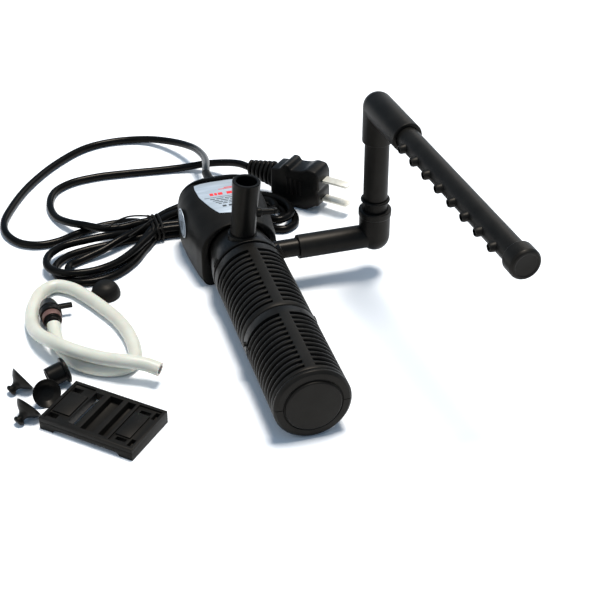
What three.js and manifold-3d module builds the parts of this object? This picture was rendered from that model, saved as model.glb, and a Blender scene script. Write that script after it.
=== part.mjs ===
// Internal power filter for an aquarium, with its spray bar, mains lead and loose fitting kit.
// Units are millimetres and +Z is up. The filter lies on its flat back: the origin is the middle of
// that face, +Y runs from the strainer towards the cable end, and +X is the side of the outlet nozzle.
import * as THREE from 'three';
import { mergeVertices } from 'three/addons/utils/BufferGeometryUtils.js';
import Module from 'manifold-3d';

const wasm = await Module();
wasm.setup();

// ---- driving dimensions -------------------------------------------------------------------------
const GAP = 0.3;                      // clearance between neighbouring pieces
const SKIN_GAP = 0.1;                 // clearance under labels
const OVERCUT = 1;                    // how far a cutting tool runs past a face
const REACH = 60;                     // half extent of a block that trims a whole housing
const ROUND = 16;                     // sides of a turned piece
const SMALL_ROUND = 12;               // sides of a small turned piece
const BALL_ROUND = 16;                // sides of the ball that rounds an elbow's corner
const FINE_ROUND = 28;                // sides of a large turned piece

const CANISTER_R = 20;                // strainer canister
const AXIS_Z = CANISTER_R;            // common axis of the canister, impeller and rotor
const CANISTER_BACK = -50;            // where the canister meets the impeller chamber
const SECTION_SPLIT = -111;           // where the two strainer sections meet
const CANISTER_FRONT = -166.2;        // where the end cap starts
const CANISTER_WALL = 1.8;
const SPIGOT_LENGTH = 4;
const SLOT_ROWS = 12;
const SLOT_WIDTH = 2.1;
const SLOT_BANDS = 3;                 // plain bands between the slots, the first one on top
const SLOT_SPAN = THREE.MathUtils.degToRad(104);
const SLOT_ARC_STEPS = 4;
const UPPER_SLOTS = [-108.3, -55.3];
const LOWER_SLOTS = [-164.6, -116.5];
const END_CAP_LENGTH = 4;
const END_DISC_R = 14.4;
const SPONGE_R = 15.6;
const SPONGE_HOLE_R = 6;

const HEAD_FRONT = -27;               // motor housing, along Y
const HEAD_BACK = 20;
const REAR_CAP_END = 24.4;
const LABEL_Z = 39;                   // flat face that carries the label
const LABEL_THICKNESS = 0.5;
const LABEL_INSET = 1;
const LABEL_FRONT = -15;
const LABEL_BACK = 17;
const BADGE_R = 8.5;
const RECESS_R = 17.9;                // round recess that takes the neck of the impeller chamber
const RECESS_FLOOR = -22;
const HEAD_WALL = 2.6;
const CAVITY = { front: -17, bottom: 4, top: 36.4 };
const WELL_R = 7.4;                   // rotor well
const WELL_BORE_R = 6.1;
const WELL_END = 1.5;
const WELL_BORE_END = 0;

const CHAMBER_BORE_R = 12.5;          // impeller chamber
const CHAMBER_BORE_FRONT = -44;
const CHAMBER_PLATE_FRONT = -46.5;
const CHAMBER_REAR = -22.3;
const INTAKE_R = 7.5;
const NECK_R = 16.6;
const SEAL_RING_R = 14.8;
const SEAL_R = 0.9;

const SPIDER_ARMS = 3;
const FRONT_BUSH_R = 2.4;

const SHAFT_R = 1;
const SHAFT_BORE_R = 1.3;
const MAGNET_R = 5.6;
const MAGNET = [-21, -2.2];
const IMPELLER_R = 10.5;
const BLADES = 6;
const BLADE_THICKNESS = 1.3;
const HUB_R = 3.4;

// The open outlet spout leans a little. Its own heights are measured along it from its foot.
const SPOUT_FOOT = new THREE.Vector3(-1.1, -39, 36);
const SPOUT_LEAN = THREE.MathUtils.degToRad(5);
const SPOUT_R = 6.9;
const SPOUT_LIP_R = 7.7;
const SPOUT_BORE_R = 5.7;
const SPOUT_LENGTH = 36;
const NIPPLE_AT = 15.8;               // air nipple on the spout, along it
const NIPPLE_R = 1.7;
const NIPPLE_BORE_R = 0.8;
const NIPPLE_END = 18.5;

const ARM_Z = 24;                     // outlet nozzle, elbows, riser and spray bar
const ARM_Y = -38;
const NOZZLE_R = 5.2;
const NOZZLE_BORE_R = 3.9;
const NOZZLE_END = 40;
const ARM_START = 30.5;
const ARM_R = 6.75;
const RISER_X = 75.5;
const RISER_R = 6.8;
const RISER_BORE_R = 5.2;
const RISER_BOTTOM = 32;
const RISER_TOP = 97;
const SOCKET_R = 9;
const SOCKET_BORE_R = 7.1;
const SOCKET_TOP = 41.5;
const RING_Z = 47.4;
const BRANCH_Z = 104.5;
const BRANCH_SOCKET_R = 8.3;
const BRANCH_SOCKET_BOTTOM = 84;
const BRANCH_LENGTH = 37;
const BAR_YAW = THREE.MathUtils.degToRad(5);
const BAR_R = 6.25;
const BAR_BORE_R = 4.9;
const BAR_START = 24;
const BAR_END = 154.5;
const BAR_CAP_R = 8.1;
const BAR_CAP_END = 164;
const JETS = 8;
const FIRST_JET = 46;
const JET_PITCH = 14;
const JET_R = 2.3;
const JET_BORE_R = 1.3;
const JET_REACH = 9;
const JET_DROOP = THREE.MathUtils.degToRad(2);

const CORD_R = 2.1;                   // mains lead
const CORD_SIDES = 8;
const GLAND_AT = new THREE.Vector3(-1, HEAD_BACK, 29.4);
const GLAND_END = 46.5;
const HANK_HEIGHT = 9;
const HOSE_R = 3.7;                   // airline
const HOSE_SIDES = 10;

const PLUG_Z = 14.4;                  // flat two-blade plug, standing on its narrow side
const PLUG_BACK = new THREE.Vector3(32, 71, PLUG_Z);
const PLUG_YAW = THREE.MathUtils.degToRad(-45.5);
const PLUG_BODY = { start: 19, end: 52, height: 28.4, thickness: 15 };
const BLADE = { start: 52.3, end: 69, width: 6.35, thickness: 1.5, spacing: 12.7 };

const BRACKET = { length: 54, width: 33, height: 7, skirt: 2, slab: 3 };
const BRACKET_AT = new THREE.Vector3(-97, -131.2, 0);
const BRACKET_YAW = THREE.MathUtils.degToRad(-43.5);

const CUP_R = 7.4;                    // suction cups
const CUP_HEAD_R = 2.8;
const CUP_SPAN = 8.5;                 // from the mouth to the middle of the stem's head
const DOME_AT = new THREE.Vector3(-75.5, -19.5, 0);
const SLEEVE = { bore: 4, body: 5.2, flange: 7, shoulder: 9, length: 11.2 };
const SLEEVE_AT = new THREE.Vector3(-118.8, -92.8, 5.4);
const SLEEVE_YAW = THREE.MathUtils.degToRad(12);
const VALVE_AT = new THREE.Vector3(-108.6, -47, 6.2);

// Sections of the motor housing: position along Y, half width, height above the axis and squareness.
const HEAD_SECTIONS = [
  { y: HEAD_FRONT, halfWidth: 21.6, rise: 18.9, power: 2.2 },
  { y: -20, halfWidth: 23, rise: 19.3, power: 2.3 },
  { y: -8, halfWidth: 24.2, rise: 20.6, power: 2.5 },
  { y: 4, halfWidth: 24.8, rise: 21.3, power: 2.9 },
  { y: 13, halfWidth: 25, rise: 21.3, power: 3 },
  { y: HEAD_BACK, halfWidth: 24.6, rise: 21, power: 3 },
];
const REAR_CAP_SECTIONS = [
  { y: HEAD_BACK + GAP, halfWidth: 24.4, rise: 21.4, power: 3 },
  { y: 22.6, halfWidth: 23.8, rise: 20.8, power: 3 },
  { y: REAR_CAP_END, halfWidth: 21.5, rise: 18.6, power: 2.8 },
];
const FOOT_POWER = 7;                 // squareness of the lower half of the housing
const FOOT_DROP = 20.6;               // the lower half is cut flat at the standing face

// Where the loose lengths lie. Each route is a list of points on its centre line.
const LEAD_FROM_HEAD = [
  [-1, 47.3, 29], [1, 56, 27.2], [4.5, 72, 23], [6, 90, 18], [4.3, 109, 12.6], [-3.5, 128, 7.4],
  [-17.5, 143.5, 3.4], [-38, 149, 2.2], [-58, 145.5, 2.2], [-79, 131, 2.2], [-100, 108, 2.2],
  [-113.5, 86, 2.2], [-120.5, 69, 2.2], [-120.5, 56, 2.2], [-114.5, 44.5, 2.2], [-104.5, 39, 2.2],
  [-93, 39.5, 2.2], [-81, 44.5, 2.2], [-68, 48.5, 2.2], [-56, 49.5, 2.2], [-45, 45, 4],
];
const LEAD_TO_PLUG = [
  [-56, 36.8, 7], [-66, 38.4, 7.2], [-76, 45, 7.2], [-84, 54, 5.2], [-90, 67, 2.6], [-91, 82, 2.2],
  [-86, 96, 2.2], [-75, 104, 2.2], [-58, 107, 2.2], [-38, 106, 2.2], [-18, 104, 2.2], [-3, 102, 3],
  [10, 98, 5.6], [21, 89, 9.6], [27.5, 79.5, 13], [31.6, 71.6, 14.3],
];
const HANK_OUTLINE = [
  [50, 31], [46.6, 43], [40, 52], [30, 56.4], [8, 54], [-16, 50.2], [-26, 47.6], [-36, 45.4], [-46, 44.8],
  [-58, 41.4], [-84, 34], [-101, 22], [-105, 8], [-97, -4.5], [-83, -6], [-65, 5.5], [-48, 21], [-34, 26],
  [-16, 26], [8, 26], [24, 25.4], [30, 20.5], [34, 13.8], [41, 13], [48, 19],
];
const HOSE_ROUTE = [
  [-108.6, -48.1, 6.2], [-109, -54, 4.8], [-108.8, -62, 3.9], [-106.8, -71.5, 3.8],
  [-102.4, -81, 3.8], [-94.5, -88.6, 3.8], [-85, -92.8, 3.8], [-77.6, -92.6, 3.8],
  [-72.6, -87.6, 3.8], [-70.8, -78, 3.8], [-71.2, -64.4, 3.8], [-74.5, -49.6, 3.8],
  [-79.6, -37.7, 3.8], [-86.7, -23.6, 3.8], [-94, -13, 3.8], [-102, -8.4, 3.8], [-110, -12.6, 3.8],
  [-116, -24, 3.8], [-119, -36, 4.2], [-119.2, -49, 6.2], [-116.6, -61, 9.2], [-111, -72, 11.6],
  [-104.6, -79.6, 11.8], [-96.8, -86, 11.2], [-87.7, -92.4, 11], [-78.5, -98, 11.6],
  [-69.2, -102.6, 11], [-62.4, -105.4, 10.2],
];

// ---- geometry helpers ---------------------------------------------------------------------------

// Merges shared corners, drops empty faces and turns the faces outward.
function closed(source) {
  const geometry = source.clone();
  geometry.deleteAttribute('normal');
  geometry.deleteAttribute('uv');
  const merged = mergeVertices(geometry, 1e-4);
  const position = merged.getAttribute('position');
  const index = merged.getIndex().array;
  const faces = [];
  const [a, b, c] = [new THREE.Vector3(), new THREE.Vector3(), new THREE.Vector3()];
  let volume = 0;
  for (let i = 0; i < index.length; i += 3) {
    const face = [index[i], index[i + 1], index[i + 2]];
    if (new Set(face).size < 3) continue;
    faces.push(face);
    a.fromBufferAttribute(position, face[0]);
    b.fromBufferAttribute(position, face[1]);
    c.fromBufferAttribute(position, face[2]);
    volume += a.dot(b.cross(c));
  }
  if (volume < 0) faces.forEach((face) => face.reverse());
  merged.setIndex(faces.flat());
  return merged;
}

function toSolid(geometry) {
  const merged = closed(geometry);
  return new wasm.Manifold(new wasm.Mesh({
    numProp: 3,
    vertProperties: new Float32Array(merged.getAttribute('position').array),
    triVerts: new Uint32Array(merged.getIndex().array),
  }));
}

function toGeometry(solid) {
  const { vertProperties, triVerts } = solid.getMesh();
  const geometry = new THREE.BufferGeometry();
  geometry.setAttribute('position', new THREE.BufferAttribute(new Float32Array(vertProperties), 3));
  geometry.setIndex(Array.from(triVerts));
  return geometry;
}

const union = (...geometries) => geometries.map(toSolid).reduce((all, next) => all.add(next));
const cut = (solid, ...geometries) =>
  geometries.map(toSolid).reduce((all, next) => all.subtract(next), solid);

// Turns a profile of [radius, height] points about +Z.
function turned(profile, sides = ROUND) {
  const outline = profile.map(([radius, height]) => new THREE.Vector2(radius, height));
  return new THREE.LatheGeometry(outline, sides).rotateX(Math.PI / 2);
}

const rod = (radius, from, to, sides = ROUND) =>
  turned([[0, from], [radius, from], [radius, to], [0, to]], sides);

const pipe = (bore, radius, from, to, sides = ROUND) =>
  turned([[bore, from], [radius, from], [radius, to], [bore, to], [bore, from]], sides);

function torus(major, minor, height, sides = ROUND) {
  const ring = [];
  const steps = 6;
  for (let i = 0; i <= steps; i += 1) {
    const angle = (2 * Math.PI * i) / steps;
    ring.push([major + minor * Math.cos(angle), height + minor * Math.sin(angle)]);
  }
  return turned(ring, sides);
}

// Moves a geometry made about +Z so that +Z points along the direction and its base is at the place.
function aimed(geometry, place, direction) {
  const up = new THREE.Vector3(0, 0, 1);
  const turn = new THREE.Quaternion().setFromUnitVectors(up, direction.clone().normalize());
  return geometry.clone().applyQuaternion(turn).translate(place.x, place.y, place.z);
}

const BACKWARD = new THREE.Vector3(0, 1, 0);
const SIDEWAYS = new THREE.Vector3(1, 0, 0);
const ROTOR_AXIS = new THREE.Vector3(0, 0, AXIS_Z);
const onAxis = (geometry) => aimed(geometry, ROTOR_AXIS, BACKWARD);

function block(x0, x1, y0, y1, z0, z1) {
  const geometry = new THREE.BoxGeometry(x1 - x0, y1 - y0, z1 - z0);
  return geometry.translate((x0 + x1) / 2, (y0 + y1) / 2, (z0 + z1) / 2);
}

const bounded = (outline) => new THREE.Shape(outline.map(([x, y]) => new THREE.Vector2(x, y)));

const plate = (shape, z0, z1) =>
  new THREE.ExtrudeGeometry(shape, { depth: z1 - z0, bevelEnabled: false }).translate(0, 0, z0);

// A skin through rings of equally many points, closed at both ends.
function lofted(rings) {
  const points = rings.flat();
  const count = rings[0].length;
  const faces = [];
  for (let ring = 0; ring < rings.length - 1; ring += 1) {
    for (let i = 0; i < count; i += 1) {
      const a = ring * count + i;
      const b = ring * count + ((i + 1) % count);
      faces.push(a, b, b + count, a, b + count, a + count);
    }
  }
  const last = (rings.length - 1) * count;
  for (let i = 1; i < count - 1; i += 1) {
    faces.push(0, i + 1, i, last, last + i, last + i + 1);
  }
  const geometry = new THREE.BufferGeometry();
  geometry.setAttribute('position', new THREE.Float32BufferAttribute(points.flatMap((p) => p.toArray()), 3));
  geometry.setIndex(faces);
  return geometry;
}

function tubeAlong(points, radius, sides, spacing) {
  const curve = new THREE.CatmullRomCurve3(points.map((p) => new THREE.Vector3(...p)), false, 'centripetal');
  const section = new THREE.Shape();
  for (let i = 0; i <= sides; i += 1) {
    const angle = (2 * Math.PI * i) / sides;
    const corner = [radius * Math.cos(angle), radius * Math.sin(angle)];
    if (i === 0) section.moveTo(...corner);
    else section.lineTo(...corner);
  }
  const steps = Math.round(curve.getLength() / spacing);
  return new THREE.ExtrudeGeometry(section, { steps, extrudePath: curve, bevelEnabled: false });
}

const group = new THREE.Group();

function add(name, geometry, color, roughness = 0.55, metalness = 0, parent = group) {
  const material = new THREE.MeshStandardMaterial({ color, roughness, metalness });
  const mesh = new THREE.Mesh(closed(geometry), material);
  mesh.name = name;
  parent.add(mesh);
  return mesh;
}

const BLACK = 0x1b1c1e;
const RUBBER = 0x151516;
const SILVER = 0xb9bdc4;
const STEEL = 0x9a9ca0;
const COPPER = 0x9a5a34;
const FOAM = 0x2a2b2d;
const CLEAR = 0xe4e7e6;
const NATURAL_NYLON = 0xd8d2c0;

// ---- motor head ---------------------------------------------------------------------------------

function headSection({ y, halfWidth, rise, power }) {
  const ring = [];
  const steps = 32;
  for (let i = 0; i < steps; i += 1) {
    const angle = (2 * Math.PI * i) / steps;
    const upper = Math.sin(angle) >= 0;
    const exponent = 2 / (upper ? power : FOOT_POWER);
    const across = Math.sign(Math.cos(angle)) * Math.abs(Math.cos(angle)) ** exponent;
    const up = Math.sign(Math.sin(angle)) * Math.abs(Math.sin(angle)) ** exponent;
    ring.push(new THREE.Vector3(halfWidth * across, y, AXIS_Z + up * (upper ? rise : FOOT_DROP)));
  }
  return ring;
}

function buildHousing() {
  const skin = lofted(HEAD_SECTIONS.map(headSection));
  const inset = ({ y, halfWidth, rise, power }) =>
    headSection({ y, halfWidth: halfWidth - HEAD_WALL, rise: rise - HEAD_WALL, power });
  const { front, bottom, top } = CAVITY;
  const past = { ...HEAD_SECTIONS.at(-1), y: HEAD_BACK + OVERCUT };
  const room = block(-REACH, REACH, front, HEAD_BACK + OVERCUT, bottom, top);
  const hollow = toSolid(lofted([...HEAD_SECTIONS, past].map(inset))).intersect(toSolid(room));
  const envelope = block(-REACH, REACH, -REACH, REACH, 0, LABEL_Z);
  const shell = toSolid(skin).intersect(toSolid(envelope)).subtract(hollow);
  const well = toSolid(onAxis(rod(WELL_R, front - OVERCUT, WELL_END)));
  const recess = onAxis(rod(RECESS_R, HEAD_FRONT - OVERCUT, RECESS_FLOOR, FINE_ROUND));
  const bore = onAxis(rod(WELL_BORE_R, RECESS_FLOOR - OVERCUT, WELL_BORE_END));
  add('motor_housing', toGeometry(cut(shell.add(well), recess, bore)), BLACK);
}

function buildRearCap() {
  const skin = lofted(REAR_CAP_SECTIONS.map(headSection));
  const envelope = block(-REACH, REACH, 0, REACH, 0, LABEL_Z + 2);
  const hole = aimed(rod(3.5, -OVERCUT, 8, SMALL_ROUND), GLAND_AT, BACKWARD);
  const cap = toSolid(skin).intersect(toSolid(envelope));
  add('rear_cap', toGeometry(cut(cap, hole)), BLACK);
}

// Half width of the flat label face at a place along Y, from the sections on either side of it.
function labelHalfWidth(y) {
  const next = Math.max(1, HEAD_SECTIONS.findIndex((section) => section.y >= y));
  const [low, high] = [HEAD_SECTIONS[next - 1], HEAD_SECTIONS[next]];
  const part = (y - low.y) / (high.y - low.y);
  const mix = (key) => THREE.MathUtils.lerp(low[key], high[key], part);
  const level = (LABEL_Z - AXIS_Z) / mix('rise');
  if (level >= 1) return 0;
  return mix('halfWidth') * (1 - level ** mix('power')) ** (1 / mix('power')) - LABEL_INSET;
}

function buildLabels() {
  const edge = [];
  for (let y = LABEL_FRONT; y <= LABEL_BACK; y += 4) edge.push([labelHalfWidth(y), y]);
  edge.push([11, LABEL_BACK + 1.4], [5, LABEL_BACK + 2]);
  const mirrored = edge.map(([x, y]) => [-x, y]).reverse();
  const tip = [0, LABEL_FRONT - 1.6];
  const label = plate(bounded([tip, ...edge, ...mirrored]), LABEL_Z + SKIN_GAP, LABEL_Z + LABEL_THICKNESS);
  add('front_label', label, SILVER, 0.35, 0.6);
  const place = new THREE.Vector3(-25.2, 6, AXIS_Z + 3);
  const badge = aimed(rod(BADGE_R, 0, 0.4), place, SIDEWAYS.clone().negate());
  add('side_badge', badge, SILVER, 0.35, 0.6);
}

function buildStator() {
  const leg = { inner: 7.8, outer: 12.5, front: -12.8, back: 13.2, bridge: 7.8, halfWidth: 8 };
  const { inner, outer, front, back, bridge, halfWidth } = leg;
  const outline = bounded([
    [front, -outer], [back, -outer], [back, outer], [front, outer],
    [front, inner], [bridge, inner], [bridge, -inner], [front, -inner],
  ]);
  // The outline is drawn along Y and Z and pushed through the width of the stack.
  const core = plate(outline, -halfWidth, halfWidth);
  core.applyMatrix4(new THREE.Matrix4().makeBasis(
    new THREE.Vector3(0, 1, 0), new THREE.Vector3(0, 0, 1), new THREE.Vector3(1, 0, 0),
  )).translate(0, 0, AXIS_Z);
  add('stator_core', core, STEEL, 0.5, 0.8);

  // The coil sits round the bridge of the core, between the flanges of its bobbin.
  const wrap = (margin, z0, z1) => block(
    -halfWidth - margin, halfWidth + margin, bridge - margin, back + margin, AXIS_Z + z0, AXIS_Z + z1,
  );
  const reach = inner - GAP;
  const flange = 1;
  const sleeve = 1.2;
  const depth = 3.4;
  const lowFlange = wrap(depth, -reach, flange - reach);
  const highFlange = wrap(depth, reach - flange, reach);
  const spool = union(wrap(sleeve, -reach, reach), lowFlange, highFlange);
  add('coil_bobbin', toGeometry(cut(spool, wrap(GAP, -reach - OVERCUT, reach + OVERCUT))), NATURAL_NYLON);
  const span = reach - flange - GAP;
  const inside = wrap(sleeve + GAP, -span - OVERCUT, span + OVERCUT);
  add('coil_winding', toGeometry(cut(union(wrap(depth - GAP, -span, span)), inside)), COPPER, 0.4, 0.6);
}

function buildRotor() {
  const shaft = { front: -45.8, back: -0.6 };
  const rearBush = { front: -1.9, back: -GAP };
  const frontBush = { front: CHAMBER_PLATE_FRONT + GAP, back: -44.4 };
  add('rotor_magnet', onAxis(pipe(SHAFT_BORE_R, MAGNET_R, ...MAGNET, SMALL_ROUND)), 0x2b2826, 0.5, 0.2);
  add('rotor_shaft', onAxis(rod(SHAFT_R, shaft.front, shaft.back, SMALL_ROUND)), 0xd9d9d4, 0.25);
  const rear = pipe(SHAFT_BORE_R, WELL_BORE_R - GAP, rearBush.front, rearBush.back, SMALL_ROUND);
  add('rear_bush', onAxis(rear), RUBBER, 0.8);
  const front = pipe(SHAFT_BORE_R, FRONT_BUSH_R, frontBush.front, frontBush.back, SMALL_ROUND);
  add('front_bush', onAxis(front), RUBBER, 0.8);

  const wheelFace = { disc: [-32, -31], blades: [-41, -31.5], hub: [-41, MAGNET[0] - GAP] };
  const disc = rod(IMPELLER_R, ...wheelFace.disc);
  const hub = rod(HUB_R, ...wheelFace.hub, SMALL_ROUND);
  const blades = [];
  for (let i = 0; i < BLADES; i += 1) {
    const half = BLADE_THICKNESS / 2;
    const blade = block(0.5, IMPELLER_R - GAP, -half, half, ...wheelFace.blades);
    blades.push(blade.rotateZ((2 * Math.PI * i) / BLADES));
  }
  const wheel = cut(union(disc, hub, ...blades), rod(SHAFT_BORE_R, CANISTER_BACK, 0, SMALL_ROUND));
  add('impeller', onAxis(toGeometry(wheel)), 0xe6e4dc, 0.4);
}

// ---- impeller chamber and outlet ----------------------------------------------------------------

const armAxis = (geometry) => aimed(geometry, new THREE.Vector3(0, ARM_Y, ARM_Z), SIDEWAYS);
const spoutAxis = (geometry) =>
  geometry.clone().rotateY(SPOUT_LEAN).translate(SPOUT_FOOT.x, SPOUT_FOOT.y, SPOUT_FOOT.z);

function buildChamber() {
  const dome = onAxis(turned([
    [0, CANISTER_BACK + GAP], [CANISTER_R, CANISTER_BACK + GAP], [CANISTER_R, -47], [19.5, -42], [18.4, -36],
    [17.3, -30.5], [NECK_R, -26], [NECK_R, CHAMBER_REAR], [0, CHAMBER_REAR],
  ], FINE_ROUND));
  const nozzle = armAxis(rod(NOZZLE_R, IMPELLER_R, NOZZLE_END));
  const front = CANISTER_BACK - OVERCUT;
  const sealHeight = CHAMBER_REAR - SEAL_R;
  const hollows = [
    onAxis(rod(CANISTER_R - CANISTER_WALL - GAP, front, CHAMBER_PLATE_FRONT, FINE_ROUND)),
    onAxis(rod(INTAKE_R, front, CHAMBER_BORE_FRONT + OVERCUT)),
    onAxis(rod(CHAMBER_BORE_R, CHAMBER_BORE_FRONT, CHAMBER_REAR + OVERCUT)),
    armAxis(rod(NOZZLE_BORE_R, IMPELLER_R - OVERCUT, NOZZLE_END + OVERCUT, SMALL_ROUND)),
    spoutAxis(rod(SPOUT_BORE_R, -IMPELLER_R, OVERCUT)),
    spoutAxis(rod(SPOUT_R + GAP, -GAP, SPOUT_LENGTH)),
    onAxis(torus(SEAL_RING_R, SEAL_R + GAP, sealHeight)),
  ];
  const chamber = cut(union(dome, nozzle), ...hollows);
  const spiderHub = rod(4, CHAMBER_PLATE_FRONT, CHAMBER_BORE_FRONT, SMALL_ROUND);
  const arms = [];
  for (let i = 0; i < SPIDER_ARMS; i += 1) {
    const arm = block(2, INTAKE_R + 1, -0.9, 0.9, CHAMBER_PLATE_FRONT, CHAMBER_BORE_FRONT);
    arms.push(arm.rotateZ((2 * Math.PI * i) / SPIDER_ARMS));
  }
  const socket = rod(FRONT_BUSH_R + GAP, front, CHAMBER_BORE_FRONT + 2 * OVERCUT, SMALL_ROUND);
  const spider = toSolid(onAxis(toGeometry(cut(union(spiderHub, ...arms), socket))));
  add('impeller_chamber', toGeometry(chamber.add(spider)), BLACK, 0.4);
  add('chamber_seal', onAxis(torus(SEAL_RING_R, SEAL_R, sealHeight + GAP / 2)), RUBBER, 0.8);
}

function buildSpout() {
  const lip = SPOUT_LENGTH - 3;
  const tube = turned([
    [SPOUT_BORE_R, 0], [SPOUT_R, 0], [SPOUT_R, SPOUT_LENGTH / 2], [SPOUT_LIP_R, lip],
    [SPOUT_LIP_R, SPOUT_LENGTH], [SPOUT_BORE_R, SPOUT_LENGTH], [SPOUT_BORE_R, 0],
  ]);
  const inside = SPOUT_BORE_R + 0.4;
  const collar = rod(NIPPLE_R + 0.9, inside, SPOUT_R + 2.6, SMALL_ROUND);
  const nipple = rod(NIPPLE_R, inside, NIPPLE_END, SMALL_ROUND);
  const bore = rod(NIPPLE_BORE_R, 0, NIPPLE_END + OVERCUT, SMALL_ROUND);
  const sideways = (geometry) => geometry.rotateY(Math.PI / 2).translate(0, 0, NIPPLE_AT);
  const spout = cut(union(tube, sideways(collar), sideways(nipple)), sideways(bore));
  add('outlet_spout', spoutAxis(toGeometry(spout)), BLACK, 0.45);
}

// ---- strainer canister --------------------------------------------------------------------------

// Curved slots in rows, cut between the plain bands that run along the canister.
function slotCutters([from, to]) {
  const inner = CANISTER_R - 2 * CANISTER_WALL;
  const outer = CANISTER_R + 4;
  const pitch = (to - from) / SLOT_ROWS;
  const steps = Array.from({ length: SLOT_ARC_STEPS + 1 }, (_, step) => step);
  const cutters = [];
  for (let band = 0; band < SLOT_BANDS; band += 1) {
    const middle = Math.PI / 2 + (band * 2 * Math.PI) / SLOT_BANDS;
    const arc = (radius) => steps.map((step) => {
      const angle = middle + SLOT_SPAN * (step / SLOT_ARC_STEPS - 0.5);
      return [radius * Math.cos(angle), radius * Math.sin(angle)];
    });
    const sector = bounded([...arc(outer), ...arc(inner).reverse()]);
    for (let row = 0; row < SLOT_ROWS; row += 1) {
      const y = from + pitch * (row + 0.5);
      cutters.push(onAxis(plate(sector, y - SLOT_WIDTH / 2, y + SLOT_WIDTH / 2)));
    }
  }
  return cutters;
}

function buildStrainers() {
  const bore = CANISTER_R - CANISTER_WALL;
  const spigot = bore * Math.cos(Math.PI / ROUND) - GAP;
  const spigotBore = spigot - 1.2;
  const upper = pipe(bore, CANISTER_R, SECTION_SPLIT, CANISTER_BACK);
  const splitFace = SECTION_SPLIT - GAP;
  const lower = turned([
    [bore, CANISTER_FRONT], [CANISTER_R, CANISTER_FRONT], [CANISTER_R, splitFace], [spigot, splitFace],
    [spigot, splitFace + SPIGOT_LENGTH], [spigotBore, splitFace + SPIGOT_LENGTH],
    [spigotBore, splitFace - 3], [bore, splitFace - 4.2], [bore, CANISTER_FRONT],
  ]);
  add('strainer_upper', toGeometry(cut(toSolid(onAxis(upper)), ...slotCutters(UPPER_SLOTS))), BLACK);
  add('strainer_lower', toGeometry(cut(toSolid(onAxis(lower)), ...slotCutters(LOWER_SLOTS))), BLACK);

  const capBack = CANISTER_FRONT - GAP;
  const capFace = capBack - END_CAP_LENGTH;
  const cap = onAxis(turned([
    [0, capFace], [END_DISC_R - 0.6, capFace], [END_DISC_R, capFace + 0.6], [END_DISC_R, capFace + 1.5],
    [CANISTER_R - 1, capFace + 1], [CANISTER_R, capFace + 2], [CANISTER_R, capBack], [spigot, capBack],
    [spigot, capBack + SPIGOT_LENGTH], [spigotBore, capBack + SPIGOT_LENGTH], [spigotBore, capBack - 1],
    [0, capBack - 1],
  ], FINE_ROUND));
  add('strainer_end_cap', cap, BLACK, 0.45);

  const joint = SECTION_SPLIT + SPIGOT_LENGTH;
  const sponge = (from, to) => onAxis(pipe(SPONGE_HOLE_R, SPONGE_R, from, to));
  add('sponge_upper', sponge(joint, CANISTER_BACK - 1), FOAM, 0.95);
  add('sponge_lower', sponge(CANISTER_FRONT + SPIGOT_LENGTH, joint - 1), FOAM, 0.95);
}

// ---- elbows, riser and spray bar ----------------------------------------------------------------

const barDirection = new THREE.Vector3(Math.sin(BAR_YAW), -Math.cos(BAR_YAW), 0);

const kneeBall = (radius, height) =>
  new THREE.SphereGeometry(radius, BALL_ROUND, BALL_ROUND / 2).translate(RISER_X, ARM_Y, height);
const upright = (geometry) => geometry.translate(RISER_X, ARM_Y, 0);

function buildLowerElbow() {
  const rimHeight = SOCKET_TOP - 4;
  const body = union(
    armAxis(rod(ARM_R, ARM_START, RISER_X)),
    kneeBall(SOCKET_R - 0.4, ARM_Z),
    upright(rod(SOCKET_R - 0.3, ARM_Z, rimHeight)),
    upright(rod(SOCKET_R + 0.2, rimHeight, SOCKET_TOP)),
  );
  const elbow = cut(
    body,
    armAxis(rod(NOZZLE_R + GAP, ARM_START - OVERCUT, NOZZLE_END + 2)),
    armAxis(rod(RISER_BORE_R, NOZZLE_END + 1, RISER_X)),
    kneeBall(RISER_BORE_R, ARM_Z),
    upright(rod(SOCKET_BORE_R, RISER_BOTTOM - GAP, SOCKET_TOP + OVERCUT)),
    upright(rod(RISER_BORE_R, ARM_Z, RISER_BOTTOM)),
  );
  add('lower_elbow', toGeometry(elbow), BLACK, 0.5);
}

function buildRiser() {
  const groove = { low: RING_Z - 1.1, high: RING_Z + 1.1, radius: RISER_R - 0.6 };
  const riser = turned([
    [RISER_BORE_R, RISER_BOTTOM], [RISER_R, RISER_BOTTOM], [RISER_R, groove.low], [groove.radius, groove.low],
    [groove.radius, groove.high], [RISER_R, groove.high], [RISER_R, RISER_TOP], [RISER_BORE_R, RISER_TOP],
    [RISER_BORE_R, RISER_BOTTOM],
  ]);
  add('riser_tube', upright(riser), BLACK, 0.5);
  const minor = 0.9;
  add('riser_ring', upright(torus(groove.radius + minor + 0.1, minor, RING_Z)), RUBBER, 0.7);
}

function buildUpperElbow() {
  const top = new THREE.Vector3(RISER_X, ARM_Y, BRANCH_Z);
  const alongBar = (geometry) => aimed(geometry, top, barDirection);
  const body = union(
    upright(rod(BRANCH_SOCKET_R, BRANCH_SOCKET_BOTTOM, BRANCH_Z)),
    kneeBall(BRANCH_SOCKET_R, BRANCH_Z),
    alongBar(rod(BRANCH_SOCKET_R, 0, BRANCH_LENGTH)),
  );
  const elbow = cut(
    body,
    upright(rod(SOCKET_BORE_R, BRANCH_SOCKET_BOTTOM - OVERCUT, RISER_TOP + GAP)),
    upright(rod(RISER_BORE_R, RISER_TOP, BRANCH_Z)),
    kneeBall(RISER_BORE_R, BRANCH_Z),
    alongBar(rod(RISER_BORE_R, 0, BAR_START)),
    alongBar(rod(BAR_R + GAP, BAR_START - GAP, BRANCH_LENGTH + OVERCUT)),
  );
  add('upper_elbow', toGeometry(elbow), BLACK, 0.5);
}

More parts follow.
